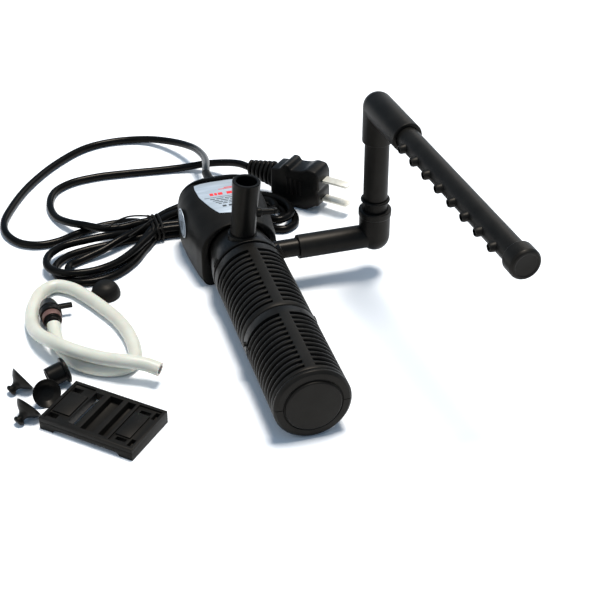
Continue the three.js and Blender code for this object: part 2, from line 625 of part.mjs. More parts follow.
function buildSprayBar() {
  const start = new THREE.Vector3(RISER_X, ARM_Y, BRANCH_Z);
  const level = new THREE.Vector3(-Math.cos(BAR_YAW), -Math.sin(BAR_YAW), 0);
  const droop = new THREE.Vector3(0, 0, -Math.sin(JET_DROOP));
  const jetDirection = level.multiplyScalar(Math.cos(JET_DROOP)).add(droop);
  const jets = [];
  const holes = [];
  for (let i = 0; i < JETS; i += 1) {
    const place = start.clone().addScaledVector(barDirection, FIRST_JET + i * JET_PITCH);
    jets.push(aimed(rod(JET_R, BAR_BORE_R + 0.4, JET_REACH, 10), place, jetDirection));
    holes.push(aimed(rod(JET_BORE_R, BAR_BORE_R - OVERCUT, JET_REACH + OVERCUT, 6), place, jetDirection));
  }
  const tube = aimed(pipe(BAR_BORE_R, BAR_R, BAR_START, BAR_END), start, barDirection);
  add('spray_bar', toGeometry(cut(union(tube, ...jets), ...holes)), BLACK, 0.5);

  const spigot = BAR_BORE_R - GAP;
  const cap = turned([
    [0, BAR_END - 6], [spigot, BAR_END - 6], [spigot, BAR_END + GAP], [BAR_CAP_R, BAR_END + GAP],
    [BAR_CAP_R, BAR_CAP_END - 1], [BAR_CAP_R - 1, BAR_CAP_END], [0, BAR_CAP_END],
  ]);
  add('spray_bar_cap', aimed(cap, start, barDirection), BLACK, 0.5);
}

// ---- mains lead ---------------------------------------------------------------------------------

// The hank's plan outline, grown by a clearance.
function hankShape(clearance) {
  const curve = new THREE.CatmullRomCurve3(HANK_OUTLINE.map(([x, y]) => new THREE.Vector3(x, y, 0)), true);
  const points = curve.getPoints(72).slice(0, -1);
  return bounded(points.map((point, i) => {
    const along = curve.getTangent(i / points.length);
    return [point.x + along.y * clearance, point.y - along.x * clearance];
  }));
}

function buildLead() {
  const lift = 0.2;
  const hank = toSolid(plate(hankShape(0), lift, HANK_HEIGHT));
  const tie = { x0: -39, x1: -33, y0: 24.6, y1: 43 };
  const neck = { y0: 26.2, y1: 41.4 };
  const grow = 1.3;
  const outer = block(tie.x0, tie.x1, tie.y0, tie.y1, SKIN_GAP, HANK_HEIGHT + grow);
  const [low, high] = [neck.y0 - GAP, neck.y1 + GAP];
  const inner = block(tie.x0 - OVERCUT, tie.x1 + OVERCUT, low, high, -OVERCUT, HANK_HEIGHT + GAP);
  const across = (y0, y1) =>
    toSolid(block(tie.x0 - GAP, tie.x1 + GAP, y0, y1, -OVERCUT, HANK_HEIGHT + OVERCUT));
  const waist = hank.intersect(across(neck.y0, neck.y1));
  const waisted = hank.subtract(across(tie.y0 - 10, tie.y1 + 10)).add(waist);
  add('cord_hank', toGeometry(waisted), RUBBER, 0.35);
  add('cord_tie', toGeometry(cut(toSolid(outer), inner)), RUBBER, 0.5);

  const keepOut = plate(hankShape(GAP), -HANK_HEIGHT, 2 * HANK_HEIGHT);
  const run = (points) => toGeometry(cut(toSolid(tubeAlong(points, CORD_R, CORD_SIDES, 10)), keepOut));
  add('cord_run_head', run(LEAD_FROM_HEAD), RUBBER, 0.3);
  add('cord_run_plug', run(LEAD_TO_PLUG), RUBBER, 0.3);

  // The bushing is flanged inside the cap, fills its hole and tapers towards the lead.
  const [capThickness, reach] = [REAR_CAP_END - HEAD_BACK, GLAND_END - HEAD_BACK];
  const bushing = turned([
    [0, -2.6], [4.2, -2.6], [4.2, -GAP], [3.2, -GAP], [3.2, capThickness], [3.5, capThickness + 0.6],
    [CORD_R + 0.4, reach], [0, reach],
  ], SMALL_ROUND);
  add('cord_gland', aimed(bushing, GLAND_AT, BACKWARD), RUBBER, 0.6);
}

function buildPlug() {
  const plug = new THREE.Group();
  plug.position.copy(PLUG_BACK);
  plug.rotation.z = PLUG_YAW;
  group.add(plug);
  const { start, end, height, thickness } = PLUG_BODY;
  const half = height / 2;
  const side = bounded([
    [start, -9], [start + 6, -10.5], [start + 8, -half], [end - 9, -half], [end - 2, 4.6 - half],
    [end, 5 - half], [end, -2], [end - 1, 0], [end, 2], [end, half - 5], [end - 2, half - 0.6],
    [end - 6, half], [end - 12, half - 3], [start + 13, half - 4], [start + 11, half],
    [start + 8.5, half - 1], [start + 6, 9], [start, 8.5],
  ]);
  const body = plate(side, -thickness / 2, thickness / 2).rotateX(Math.PI / 2);
  add('plug_body', body, RUBBER, 0.45, 0, plug);

  const ribs = [];
  const count = 6;
  for (let i = 0; i < count; i += 1) {
    const grow = i / (count - 1);
    const from = GAP + i * 3.1;
    const rib = turned([[0, from], [1, from], [1, from + 1.7], [0, from + 1.7]], SMALL_ROUND);
    ribs.push(rib.rotateY(Math.PI / 2).scale(1, 3.8 + 2.2 * grow, 5.4 + 3.2 * grow));
  }
  const spine = rod(1, GAP, start - GAP, SMALL_ROUND).rotateY(Math.PI / 2).scale(1, 3.1, 4);
  add('plug_relief', toGeometry(union(spine, ...ribs)), RUBBER, 0.5, 0, plug);

  const { start: root, end: tip, width, thickness: gauge, spacing } = BLADE;
  const levels = { plug_blade_upper: spacing / 2, plug_blade_lower: -spacing / 2 };
  for (const [name, level] of Object.entries(levels)) {
    const blade = bounded([
      [root, -width / 2], [tip - 1.5, -width / 2], [tip, 1 - width / 2], [tip, width / 2 - 1],
      [tip - 1.5, width / 2], [root, width / 2],
    ]);
    add(name, plate(blade, level - gauge / 2, level + gauge / 2), 0xd8d2c2, 0.25, 0.9, plug);
  }
}

// ---- loose fitting kit --------------------------------------------------------------------------

// A low open-backed frame with raised end panels, notched corners and recesses across its middle.
function buildBracket() {
  const { length, width, height, skirt, slab } = BRACKET;
  const [u, v] = [length / 2, width / 2];
  const edge = skirt + 2.4;
  const across = (u0, u1, depth) => block(u0, u1, edge - v, v - edge, height - depth, height + OVERCUT);
  const under = block(skirt - u, u - skirt, skirt - v, v - skirt, -OVERCUT, height - slab);
  const arch = block(8 - u, u - 8, -v - OVERCUT, v + OVERCUT, -OVERCUT, 2);
  const window = across(-11.4, -9.6, slab + OVERCUT);
  const recesses = [across(-7.6, -1.2, 2), across(1.2, 7, 2)];
  const notches = [];
  for (const row of [-1, 1]) {
    const [near, far] = [row * (v - 7.4), row * (v - 4.6)].sort((a, b) => a - b);
    notches.push(block(-u - OVERCUT, 5.6 - u, near, far, -OVERCUT, height + OVERCUT));
    notches.push(block(u - 11, u - 8.6, ...[row * (v - 6), row * (v + OVERCUT)].sort((a, b) => a - b),
      height - slab - OVERCUT, height + OVERCUT));
  }
  const bracket = cut(toSolid(block(-u, u, -v, v, 0, height)), under, arch, window, ...recesses, ...notches);
  const mesh = add('mounting_bracket', toGeometry(bracket), BLACK, 0.5);
  mesh.position.copy(BRACKET_AT);
  mesh.rotation.z = BRACKET_YAW;
}

// A suction cup with its mouth at height 0 and its mushroom stem above.
function suctionCup(radius) {
  return turned([
    [0, 2.9], [0.55 * radius, 2.1], [0.96 * radius, 0], [radius, 0.4], [0.7 * radius, 3.1], [2.7, 4.8],
    [2, 6], [2, 7.4], [CUP_HEAD_R, 8], [CUP_HEAD_R, 9.4], [0, 10],
  ], SMALL_ROUND + 4);
}

// A plain dome that stands on its rim.
function domeFoot(radius) {
  return turned([
    [0, 2.2], [0.6 * radius, 1.7], [0.94 * radius, 0], [radius, 0.6], [0.95 * radius, 3], [0.8 * radius, 5.6],
    [0.5 * radius, 7.6], [0, 8.5],
  ], SMALL_ROUND + 4);
}

function buildCups() {
  add('suction_cup_1', domeFoot(8.3).translate(...DOME_AT.toArray()), RUBBER, 0.4);
  // The others lie on their sides, touching down on the rim and on the stem's head.
  const tilt = Math.atan2(CUP_R - CUP_HEAD_R, CUP_SPAN);
  const lying = [
    { name: 'suction_cup_2', x: -121, y: -106.4, yaw: -80 },
    { name: 'suction_cup_3', x: -130.5, y: -90.5, yaw: 22 },
    { name: 'suction_cup_4', x: -131, y: -114.5, yaw: 35 },
  ];
  for (const { name, x, y, yaw } of lying) {
    const turn = THREE.MathUtils.degToRad(yaw);
    // The mouth looks outward and upward along this direction.
    const mouth = new THREE.Vector3(
      Math.cos(turn) * Math.cos(tilt), Math.sin(turn) * Math.cos(tilt), Math.sin(tilt),
    );
    const place = new THREE.Vector3(x, y, CUP_R * Math.cos(tilt) + SKIN_GAP);
    add(name, aimed(suctionCup(CUP_R), place, mouth.negate()), RUBBER, 0.4);
  }
}

function buildSleeve() {
  const { bore, body, flange, shoulder, length } = SLEEVE;
  const profile = [
    [bore, 0], [body, 0], [body, shoulder], [flange, shoulder], [flange, shoulder + 1.4], [body, length],
    [bore, length], [bore, 0],
  ];
  const tilt = Math.atan2(flange - body, shoulder);
  const direction = new THREE.Vector3(
    Math.cos(SLEEVE_YAW) * Math.cos(tilt), Math.sin(SLEEVE_YAW) * Math.cos(tilt), Math.sin(tilt),
  );
  add('adapter_sleeve', aimed(turned(profile), SLEEVE_AT, direction), RUBBER, 0.4);
}

// The airline with its control valve, which lies along Y with its barb pointing at the hose.
function buildAirline() {
  add('airline_hose', tubeAlong(HOSE_ROUTE, HOSE_R, HOSE_SIDES, 10), CLEAR, 0.3);
  const body = turned([[0, 0], [3.6, 0], [3.6, 1.6], [4.6, 2], [4.6, 10.4], [0, 10.4]], SMALL_ROUND);
  add('valve_body', aimed(body, VALVE_AT, BACKWARD), 0x3a3230, 0.5);
  const collar = pipe(4.6 + GAP, 6, 2.6, 6.6, SMALL_ROUND);
  add('valve_ring', aimed(collar, VALVE_AT, BACKWARD), COPPER, 0.35, 0.6);
  const dial = turned([[0, 10.8], [6, 10.8], [6.1, 12], [5.6, 17.4], [4.6, 19.4], [0, 20.2]]);
  const lever = block(4, 12.6, -1.2, 1.2, 13.4, 16.2);
  add('valve_knob', aimed(toGeometry(union(dial, lever)), VALVE_AT, BACKWARD), BLACK, 0.4);
}

buildHousing();
buildRearCap();
buildLabels();
buildStator();
buildRotor();
buildChamber();
buildSpout();
buildStrainers();
buildLowerElbow();
buildRiser();
buildUpperElbow();
buildSprayBar();
buildLead();
buildPlug();
buildBracket();
buildCups();
buildSleeve();
buildAirline();

export default group;
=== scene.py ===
"""Looks of an internal aquarium filter with its spray bar, mains lead and loose fitting kit."""

import math

import bmesh
import bpy
import numpy as np
from mathutils import Matrix, Vector


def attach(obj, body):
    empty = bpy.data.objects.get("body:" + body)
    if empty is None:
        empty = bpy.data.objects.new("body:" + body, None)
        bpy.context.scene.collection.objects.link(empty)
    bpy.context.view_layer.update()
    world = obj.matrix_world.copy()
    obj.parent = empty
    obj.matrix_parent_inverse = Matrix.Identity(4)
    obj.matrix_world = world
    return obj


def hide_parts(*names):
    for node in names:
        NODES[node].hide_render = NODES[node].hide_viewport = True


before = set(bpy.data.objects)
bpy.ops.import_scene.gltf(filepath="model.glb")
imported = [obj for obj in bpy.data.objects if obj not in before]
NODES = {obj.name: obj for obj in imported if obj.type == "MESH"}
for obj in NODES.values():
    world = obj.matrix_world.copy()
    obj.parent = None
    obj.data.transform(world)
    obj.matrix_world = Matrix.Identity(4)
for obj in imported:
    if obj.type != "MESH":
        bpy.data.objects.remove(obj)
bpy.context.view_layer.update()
MM = 0.001
X, Y, Z = Vector((1, 0, 0)), Vector((0, 1, 0)), Vector((0, 0, 1))

# ---- camera, floor and light ----------------------------------------------------------------------
camera_data = bpy.data.cameras.new("camera")
camera_data.lens = 90
camera_data.sensor_width = 36
camera_data.clip_start = 0.05
camera = bpy.data.objects.new("camera", camera_data)
camera.location = (-0.1669, -0.7095, 0.4780)
AZIMUTH, ELEVATION = math.radians(16.5), math.radians(35)
look = Vector((math.sin(AZIMUTH) * math.cos(ELEVATION), math.cos(AZIMUTH) * math.cos(ELEVATION),
               -math.sin(ELEVATION)))
camera.rotation_euler = look.to_track_quat("-Z", "Y").to_euler()
bpy.context.scene.collection.objects.link(camera)
bpy.context.scene.camera = camera

world = bpy.data.worlds.new("room")
world.use_nodes = True
background = world.node_tree.nodes["Background"]
background.inputs["Color"].default_value = (0.46, 0.70, 1.0, 1)
background.inputs["Strength"].default_value = 0.42
bpy.context.scene.world = world
bpy.context.scene.view_settings.view_transform = "Standard"


def light(name, kind, place, aim, energy, color, **settings):
    data = bpy.data.lights.new(name, kind)
    data.energy = energy
    data.color = color
    for key, value in settings.items():
        setattr(data, key, value)
    lamp = bpy.data.objects.new(name, data)
    lamp.location = place
    lamp.rotation_euler = (Vector(aim) - Vector(place)).to_track_quat("-Z", "Y").to_euler()
    bpy.context.scene.collection.objects.link(lamp)


light("sun", "SUN", (0.14, 0.08, 0.95), (0, 0, 0), 4.3, (1, 0.97, 0.93), angle=math.radians(20))
light("window", "AREA", (0.75, 0.75, 0.70), (0, 0, 0.02), 3, (1, 0.92, 0.82), size=0.7)
light("bounce", "AREA", (-0.7, -0.35, 0.55), (0, 0, 0.02), 1.2, (1, 0.97, 0.93), size=0.7)

# ---- materials ------------------------------------------------------------------------------------


def shader(name):
    material = bpy.data.materials.new(name)
    material.use_nodes = True
    tree = material.node_tree
    return material, tree, tree.nodes["Principled BSDF"]


def noise(tree, scale, detail=3, stretch=None):
    coords = tree.nodes.new("ShaderNodeTexCoord")
    node = tree.nodes.new("ShaderNodeTexNoise")
    node.inputs["Scale"].default_value = scale
    node.inputs["Detail"].default_value = detail
    source = coords.outputs["Object"]
    if stretch:
        mapping = tree.nodes.new("ShaderNodeMapping")
        mapping.inputs["Scale"].default_value = stretch
        tree.links.new(source, mapping.inputs["Vector"])
        source = mapping.outputs["Vector"]
    tree.links.new(source, node.inputs["Vector"])
    return node.outputs["Fac"]


def ramp(tree, fac, low, high, start=0.35, end=0.65):
    node = tree.nodes.new("ShaderNodeValToRGB")
    node.color_ramp.elements[0].position = start
    node.color_ramp.elements[1].position = end
    node.color_ramp.elements[0].color = (*low, 1)
    node.color_ramp.elements[1].color = (*high, 1)
    tree.links.new(fac, node.inputs["Fac"])
    return node.outputs["Color"]


def spread(tree, fac, low, high):
    node = tree.nodes.new("ShaderNodeMapRange")
    node.inputs["To Min"].default_value = low
    node.inputs["To Max"].default_value = high
    tree.links.new(fac, node.inputs["Value"])
    return node.outputs["Result"]


def bump(tree, bsdf, fac, strength, distance):
    node = tree.nodes.new("ShaderNodeBump")
    node.inputs["Strength"].default_value = strength
    node.inputs["Distance"].default_value = distance
    tree.links.new(fac, node.inputs["Height"])
    tree.links.new(node.outputs["Normal"], bsdf.inputs["Normal"])


def worn(name, dark, pale, rough, grain, depth, metallic=0.0, blotch=90, stretch=None, **sockets):
    """A surface whose colour drifts in blotches, with a fine grain in its gloss and relief."""
    material, tree, bsdf = shader(name)
    tree.links.new(ramp(tree, noise(tree, blotch, 4, stretch), dark, pale), bsdf.inputs["Base Color"])
    fine = noise(tree, grain, 2, stretch)
    tree.links.new(spread(tree, fine, rough[0], rough[1]), bsdf.inputs["Roughness"])
    bump(tree, bsdf, fine, 0.5, depth)
    bsdf.inputs["Metallic"].default_value = metallic
    for key, value in sockets.items():
        bsdf.inputs[key.replace("_", " ")].default_value = value
    return material


WARM = (1, 0.9, 0.78, 1)
PLASTIC = worn("moulded_black", (0.0048, 0.0045, 0.0040), (0.0080, 0.0076, 0.0068), (0.36, 0.50), 2600,
               0.00003,
               Specular_IOR_Level=0.68, IOR=1.2, Specular_Tint=WARM)
SATIN = worn("satin_black", (0.0030, 0.0029, 0.0027), (0.0052, 0.0050, 0.0046), (0.26, 0.40), 2200, 0.00002,
             Specular_IOR_Level=0.60, IOR=1.2, Specular_Tint=WARM)
MATT = worn("matt_black", (0.0040, 0.0038, 0.0034), (0.0068, 0.0064, 0.0058), (0.40, 0.56), 3000, 0.00004,
            Specular_IOR_Level=0.56, IOR=1.2, Specular_Tint=WARM)
RUBBER = worn("rubber_black", (0.0040, 0.0039, 0.0037), (0.0068, 0.0066, 0.0062), (0.40, 0.58), 1800, 0.00004,
              Specular_IOR_Level=0.64, IOR=1.2, Specular_Tint=WARM)
VINYL = worn("vinyl_black", (0.0024, 0.0024, 0.0024), (0.0042, 0.0042, 0.0041), (0.17, 0.27), 700, 0.00003,
             Specular_IOR_Level=1.0, IOR=1.12, Specular_Tint=WARM)
PLUG = worn("plug_vinyl", (0.0042, 0.0041, 0.0039), (0.0070, 0.0068, 0.0064), (0.28, 0.42), 2400, 0.00003,
            Specular_IOR_Level=0.64, IOR=1.2, Specular_Tint=WARM)
FOIL = worn("silver_foil", (0.38, 0.43, 0.47), (0.48, 0.53, 0.58), (0.34, 0.46), 900, 0.00001, 0.30,
            60, (1, 9, 1))
RED = worn("red_ink", (0.60, 0.012, 0.016), (0.72, 0.022, 0.028), (0.4, 0.55), 900, 0.00001)
INK = worn("black_ink", (0.025, 0.03, 0.035), (0.05, 0.055, 0.06), (0.4, 0.55), 900, 0.00001)
NICKEL = worn("plated_blade", (0.66, 0.62, 0.52), (0.80, 0.76, 0.66), (0.26, 0.40), 900, 0.00001, 0.45,
              200, (1, 1, 8))
COPPER = worn("copper_ring", (0.10, 0.050, 0.040), (0.17, 0.088, 0.070), (0.40, 0.54), 900, 0.00002, 0.35)
WIRE = worn("winding_wire", (0.42, 0.17, 0.06), (0.60, 0.27, 0.11), (0.25, 0.4), 2600, 0.00006, 0.8, 1400,
            (1, 1, 6))
STEEL = worn("laminated_steel", (0.30, 0.31, 0.33), (0.46, 0.47, 0.49), (0.34, 0.5), 3000, 0.00006, 0.9, 900,
             (9, 1, 1))
BOBBIN = worn("bobbin_nylon", (0.62, 0.58, 0.47), (0.74, 0.71, 0.61), (0.45, 0.6), 2000, 0.00003)
FERRITE = worn("ferrite", (0.055, 0.048, 0.045), (0.10, 0.092, 0.085), (0.5, 0.7), 2600, 0.00005)
CERAMIC = worn("ceramic", (0.74, 0.74, 0.71), (0.84, 0.84, 0.81), (0.16, 0.26), 2400, 0.00001)
NYLON = worn("white_nylon", (0.74, 0.73, 0.68), (0.84, 0.83, 0.79), (0.36, 0.5), 2000, 0.00003)
FOAM = worn("filter_foam", (0.004, 0.004, 0.005), (0.022, 0.022, 0.025), (0.85, 1.0), 900, 0.0006, 0.0, 800)
HOSE = worn("milky_vinyl", (0.49, 0.485, 0.41), (0.55, 0.545, 0.47), (0.30, 0.42), 500, 0.00001, 0.0, 70,
            Subsurface_Weight=0.22, Subsurface_Scale=0.003, IOR=1.45)


def floor_material():
    material, tree, bsdf = shader("paper_floor")
    tree.links.new(ramp(tree, noise(tree, 6, 3), (0.90, 0.91, 0.92), (0.93, 0.935, 0.94)),
                   bsdf.inputs["Base Color"])
    bsdf.inputs["Roughness"].default_value = 0.8
    return material


floor_mesh = bpy.data.meshes.new("floor")
floor_mesh.from_pydata([(-6, -6, 0), (6, -6, 0), (6, 6, 0), (-6, 6, 0)], [], [(0, 1, 2, 3)])
floor_mesh.materials.append(floor_material())
floor = bpy.data.objects.new("floor", floor_mesh)
floor.location.z = -0.0001
bpy.context.scene.collection.objects.link(floor)

# ---- mesh helpers: everything is drawn in millimetres and stored in metres ------------------------


def aimed(place, direction, turn=0.0):
    """The transform that stands a shape made about +Z at a place, pointing along a direction."""
    spin = Z.rotation_difference(Vector(direction).normalized()).to_matrix().to_4x4()
    return Matrix.Translation(Vector(place)) @ spin @ Matrix.Rotation(turn, 4, "Z")


def mesh_object(name, points, faces, at=Matrix.Identity(4)):
    """A piece from points in millimetres, with doubled points merged and its faces turned outwards."""
    mesh = bpy.data.meshes.new(name)
    mesh.from_pydata([tuple((at @ Vector(p)) * MM) for p in points], [], faces)
    form = bmesh.new()
    form.from_mesh(mesh)
    bmesh.ops.remove_doubles(form, verts=form.verts, dist=1e-7)
    bmesh.ops.recalc_face_normals(form, faces=form.faces)
    form.to_mesh(mesh)
    form.free()
    piece = bpy.data.objects.new(name, mesh)
    bpy.context.scene.collection.objects.link(piece)
    return piece


def fillet(outline, radius, steps=4):
    """Rounds the corners of an open outline of points in a plane."""
    rounded = [tuple(outline[0])]
    for before, corner, after in zip(outline, outline[1:], outline[2:]):
        b, to_a, to_c = Vector(corner), Vector(before) - Vector(corner), Vector(after) - Vector(corner)
        reach = min(radius, 0.45 * to_a.length, 0.45 * to_c.length)
        if reach < 0.02 or to_a.angle(to_c, 0) > math.radians(172):
            rounded.append(tuple(corner))
            continue
        start, end = b + to_a.normalized() * reach, b + to_c.normalized() * reach
        for i in range(steps + 1):
            t = i / steps
            rounded.append(tuple(start * (1 - t) ** 2 + b * 2 * t * (1 - t) + end * t ** 2))
    rounded.append(tuple(outline[-1]))
    return rounded


def turned(name, profile, at=Matrix.Identity(4), sides=96, round_by=0.0, scale=(1, 1)):
    """Turns a profile of (radius, height) points about +Z. A profile off the axis closes on itself."""
    outline = fillet(profile, round_by) if round_by else profile
    points, faces, rings = [], [], []
    for radius, height in outline:
        if radius < 1e-6:
            rings.append([len(points)])
            points.append((0, 0, height))
            continue
        rings.append(list(range(len(points), len(points) + sides)))
        for i in range(sides):
            angle = 2 * math.pi * i / sides
            points.append((radius * math.cos(angle) * scale[0], radius * math.sin(angle) * scale[1], height))
    pairs = list(zip(rings, rings[1:]))
    for low, high in pairs:
        for i in range(sides):
            j = (i + 1) % sides
            ring = [low[i % len(low)], low[j % len(low)], high[j % len(high)], high[i % len(high)]]
            face = list(dict.fromkeys(ring))
            if len(face) > 2:
                faces.append(face)
    return mesh_object(name, points, faces, at)


def lofted(name, rings, at=Matrix.Identity(4)):
    """A skin over a row of rings with equal numbers of points, closed at both ends."""
    count = len(rings[0])
    points = [p for ring in rings for p in ring]
    faces = [list(range(count))[::-1], list(range(len(points) - count, len(points)))]
    for r in range(len(rings) - 1):
        for i in range(count):
            a, b = r * count + i, r * count + (i + 1) % count
            faces.append([a, b, b + count, a + count])
    return mesh_object(name, points, faces, at)


def plate(name, outline, low, high, at=Matrix.Identity(4)):
    """An outline raised from one height to another."""
    return lofted(name, [[(x, y, low) for x, y in outline], [(x, y, high) for x, y in outline]], at)


def box(name, low, high, at=Matrix.Identity(4)):
    (x0, y0, z0), (x1, y1, z1) = low, high
    return plate(name, [(x0, y0), (x1, y0), (x1, y1), (x0, y1)], z0, z1, at)


def applied(piece):
    """Replaces a piece's mesh with the result of its modifiers."""
    graph = bpy.context.evaluated_depsgraph_get()
    graph.update()
    mesh = bpy.data.meshes.new_from_object(piece.evaluated_get(graph), depsgraph=graph)
    piece.modifiers.clear()
    piece.data = mesh
    return piece


def joined(base, others, operation):
    """Unites, cuts or intersects a piece with others, which are used up."""
    for other in others:
        step = base.modifiers.new("cut", "BOOLEAN")
        step.operation = operation
        step.solver = "EXACT"
        step.object = other
        applied(base)
        bpy.data.objects.remove(other)
    return base


def merged(name, parts):
    """One piece out of several meshes that keep their own surfaces."""
    form = bmesh.new()
    for part in parts:
        form.from_mesh(part.data)
        bpy.data.objects.remove(part)
    mesh = bpy.data.meshes.new(name)
    form.to_mesh(mesh)
    form.free()
    piece = bpy.data.objects.new(name, mesh)
    bpy.context.scene.collection.objects.link(piece)
    return piece


def bevelled(piece, width, steps=3, angle=35):
    edge = piece.modifiers.new("edge", "BEVEL")
    edge.width = width * MM
    edge.segments = steps
    edge.limit_method = "ANGLE"
    edge.angle_limit = math.radians(angle)
    edge.use_clamp_overlap = True
    return applied(piece)


def dressed(piece, material, body, replaces=(), crease=34):
    """Smooths a finished piece, gives it its material and hangs it on its body."""
    mesh = piece.data
    form = bmesh.new()
    form.from_mesh(mesh)
    for edge in form.edges:
        edge.smooth = len(edge.link_faces) == 2 and edge.calc_face_angle(0) < math.radians(crease)
    for face in form.faces:
        face.smooth = True
    form.to_mesh(mesh)
    form.free()
    mesh.materials.clear()
    mesh.materials.append(material)
    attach(piece, body)
    if replaces:
        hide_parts(*replaces)
    return piece


def smooth_path(points, spacing=1.2):
    """Centripetal Catmull-Rom line through the points, sampled evenly."""
    pts = [Vector(p) for p in points]
    pts = [2 * pts[0] - pts[1], *pts, 2 * pts[-1] - pts[-2]]
    line = []
    for p0, p1, p2, p3 in zip(pts, pts[1:], pts[2:], pts[3:]):
        t0 = 0.0
        t1 = t0 + max((p1 - p0).length, 1e-6) ** 0.5
        t2 = t1 + max((p2 - p1).length, 1e-6) ** 0.5
        t3 = t2 + max((p3 - p2).length, 1e-6) ** 0.5
        steps = max(2, round((p2 - p1).length / spacing))
        for i in range(steps):
            t = t1 + (t2 - t1) * i / steps
            a1 = p0 * ((t1 - t) / (t1 - t0)) + p1 * ((t - t0) / (t1 - t0))
            a2 = p1 * ((t2 - t) / (t2 - t1)) + p2 * ((t - t1) / (t2 - t1))
            a3 = p2 * ((t3 - t) / (t3 - t2)) + p3 * ((t - t2) / (t3 - t2))
            b1 = a1 * ((t2 - t) / (t2 - t0)) + a2 * ((t - t0) / (t2 - t0))
            b2 = a2 * ((t3 - t) / (t3 - t1)) + a3 * ((t - t1) / (t3 - t1))
            line.append(b1 * ((t2 - t) / (t2 - t1)) + b2 * ((t - t1) / (t2 - t1)))
    line.append(pts[-2])
    return line


def swept(name, line, section, closed=False):
    """Carries a section of (across, up) points along a line without twist."""
    count = len(line)
    frames, side = [], None
    for i, here in enumerate(line):
        ahead = line[(i + 1) % count] if closed else line[min(i + 1, count - 1)]
        behind = line[i - 1] if closed else line[max(i - 1, 0)]
        along = (ahead - behind).normalized()
        if side is None:
            side = along.cross(Z)
            if side.length < 1e-3:
                side = along.cross(X)
        side = (side - along * side.dot(along)).normalized()
        frames.append((here, side, side.cross(along) * -1))
    rings = [[here + s * u + v * w for u, w in section] for here, s, v in frames]
    if not closed:
        return lofted(name, rings)
    size = len(section)
    points = [p for ring in rings for p in ring]
    faces = []
    for r in range(count):
        for i in range(size):
            a, b = r * size + i, r * size + (i + 1) % size
            c, d = ((r + 1) % count) * size + (i + 1) % size, ((r + 1) % count) * size + i
            faces.append([a, b, c, d])
    return mesh_object(name, points, faces)


def circle(radius, sides=24):
    return [(radius * math.cos(2 * math.pi * i / sides), radius * math.sin(2 * math.pi * i / sides))
            for i in range(sides)]


# ---- mains lead and airline: the routes are the CAD part's own ------------------------------------
CORD_R = 2.3
LEAD_FROM_HEAD = [
    (-1, 47.3, 29), (1, 56, 27.2), (4.5, 72, 23), (6, 90, 18), (4.3, 109, 12.6), (-3.5, 128, 7.4),
    (-17.5, 143.5, 3.4), (-38, 149, 2.2), (-58, 145.5, 2.2), (-79, 131, 2.2), (-100, 108, 2.2),
    (-113.5, 86, 2.2), (-120.5, 69, 2.2), (-120.5, 56, 2.2), (-114.5, 44.5, 2.2), (-104.5, 39, 2.2),
    (-93, 39.5, 2.2), (-81, 44.5, 2.2), (-68, 48.5, 2.2), (-56, 49.5, 2.2), (-45, 45, 4),
]
HANK = [
    # right lobe on the table
    (-36, 40.2, 2.4), (-26, 45, 2.2), (-16, 48.4, 2.2), (-4, 51, 2.2), (10, 53.6, 2.2), (26, 54.6, 2.2),
    (37, 50.6, 2.2), (44.5, 42, 2.2), (48, 31, 2.2), (46, 20, 2.2), (38.5, 15, 2.2), (31.5, 18, 2.2),
    (27.2, 23.6, 2.2), (19, 27.2, 2.2), (8, 27.4, 2.2), (-16, 27.4, 2.2),
    # left lobe on the table
    (-36, 27.4, 2.3), (-45, 18, 2.2), (-55, 5, 2.2), (-67, -4.2, 2.2), (-80, -7.4, 2.2), (-91, -5, 2.2),
    (-98.5, 3, 2.2), (-98.5, 13, 2.2), (-91, 21.5, 2.2), (-77, 26, 2.2), (-61, 27.8, 2.2), (-46, 30, 2.2),
    # inner right lobe on the table
    (-36, 31.7, 2.3), (-16, 31.7, 2.2), (8, 31.8, 2.2), (22, 31, 2.2), (31, 27.5, 2.2), (38.5, 27, 2.2),
    (42.8, 32, 2.2), (40, 40.5, 2.2), (33.5, 46.5, 2.2), (24, 49.6, 2.2), (8, 46.6, 2.2), (-6, 44.8, 2.2),
    (-16, 42.6, 2.2), (-26, 39.6, 2.2),
    # wide left lobe, lying over the first
    (-36, 36, 2.3), (-47, 34.6, 3.4), (-62, 31.5, 6.0), (-76, 30, 6.4), (-92, 27, 6.4), (-101.5, 18.5, 6.4),
    (-103, 8, 6.4), (-96, -0.5, 6.4), (-81, -3.4, 6.4), (-66, 0.8, 6.4), (-54, 10, 6.4), (-44, 20.5, 6.4),
    # right lobe in the upper layer
    (-36, 27.4, 6.6), (-16, 27.6, 6.5), (8, 27.6, 6.5), (20, 27.6, 6.5), (29.5, 23.5, 6.5), (37, 19.5, 6.5),
    (44, 23.5, 6.5), (46, 33, 6.5), (42, 43, 6.5), (34.5, 49.6, 6.5), (24, 52.2, 6.5), (8, 49.6, 6.5),
    (-6, 48, 6.5), (-16, 45.6, 6.5), (-26, 41.8, 6.6),
    # inner left lobe
    (-36, 36, 6.6), (-47, 31.2, 6.6), (-58, 25.5, 6.2), (-70, 20, 4.2), (-82, 16.5, 2.4), (-90.5, 12, 2.2),
    (-91.5, 5.5, 2.2), (-85, 1.5, 2.2), (-74, 2.4, 2.2), (-62, 7.5, 2.4), (-52, 14.4, 3.8), (-43, 24, 6.4),
    # inner right lobe, whose return crosses over the wide one
    (-36, 31.7, 6.6), (-16, 31.9, 6.5), (8, 31.9, 6.5), (21, 32, 6.5), (31, 30.5, 6.5), (37.5, 33.5, 6.5),
    (37, 41, 6.5), (30, 46, 6.5), (20, 47, 8.2), (8, 48.4, 10.8), (-5, 50.7, 10.0), (-16, 49.9, 7.2),
    (-26, 46.2, 6.7), (-36, 40.2, 6.7),
]
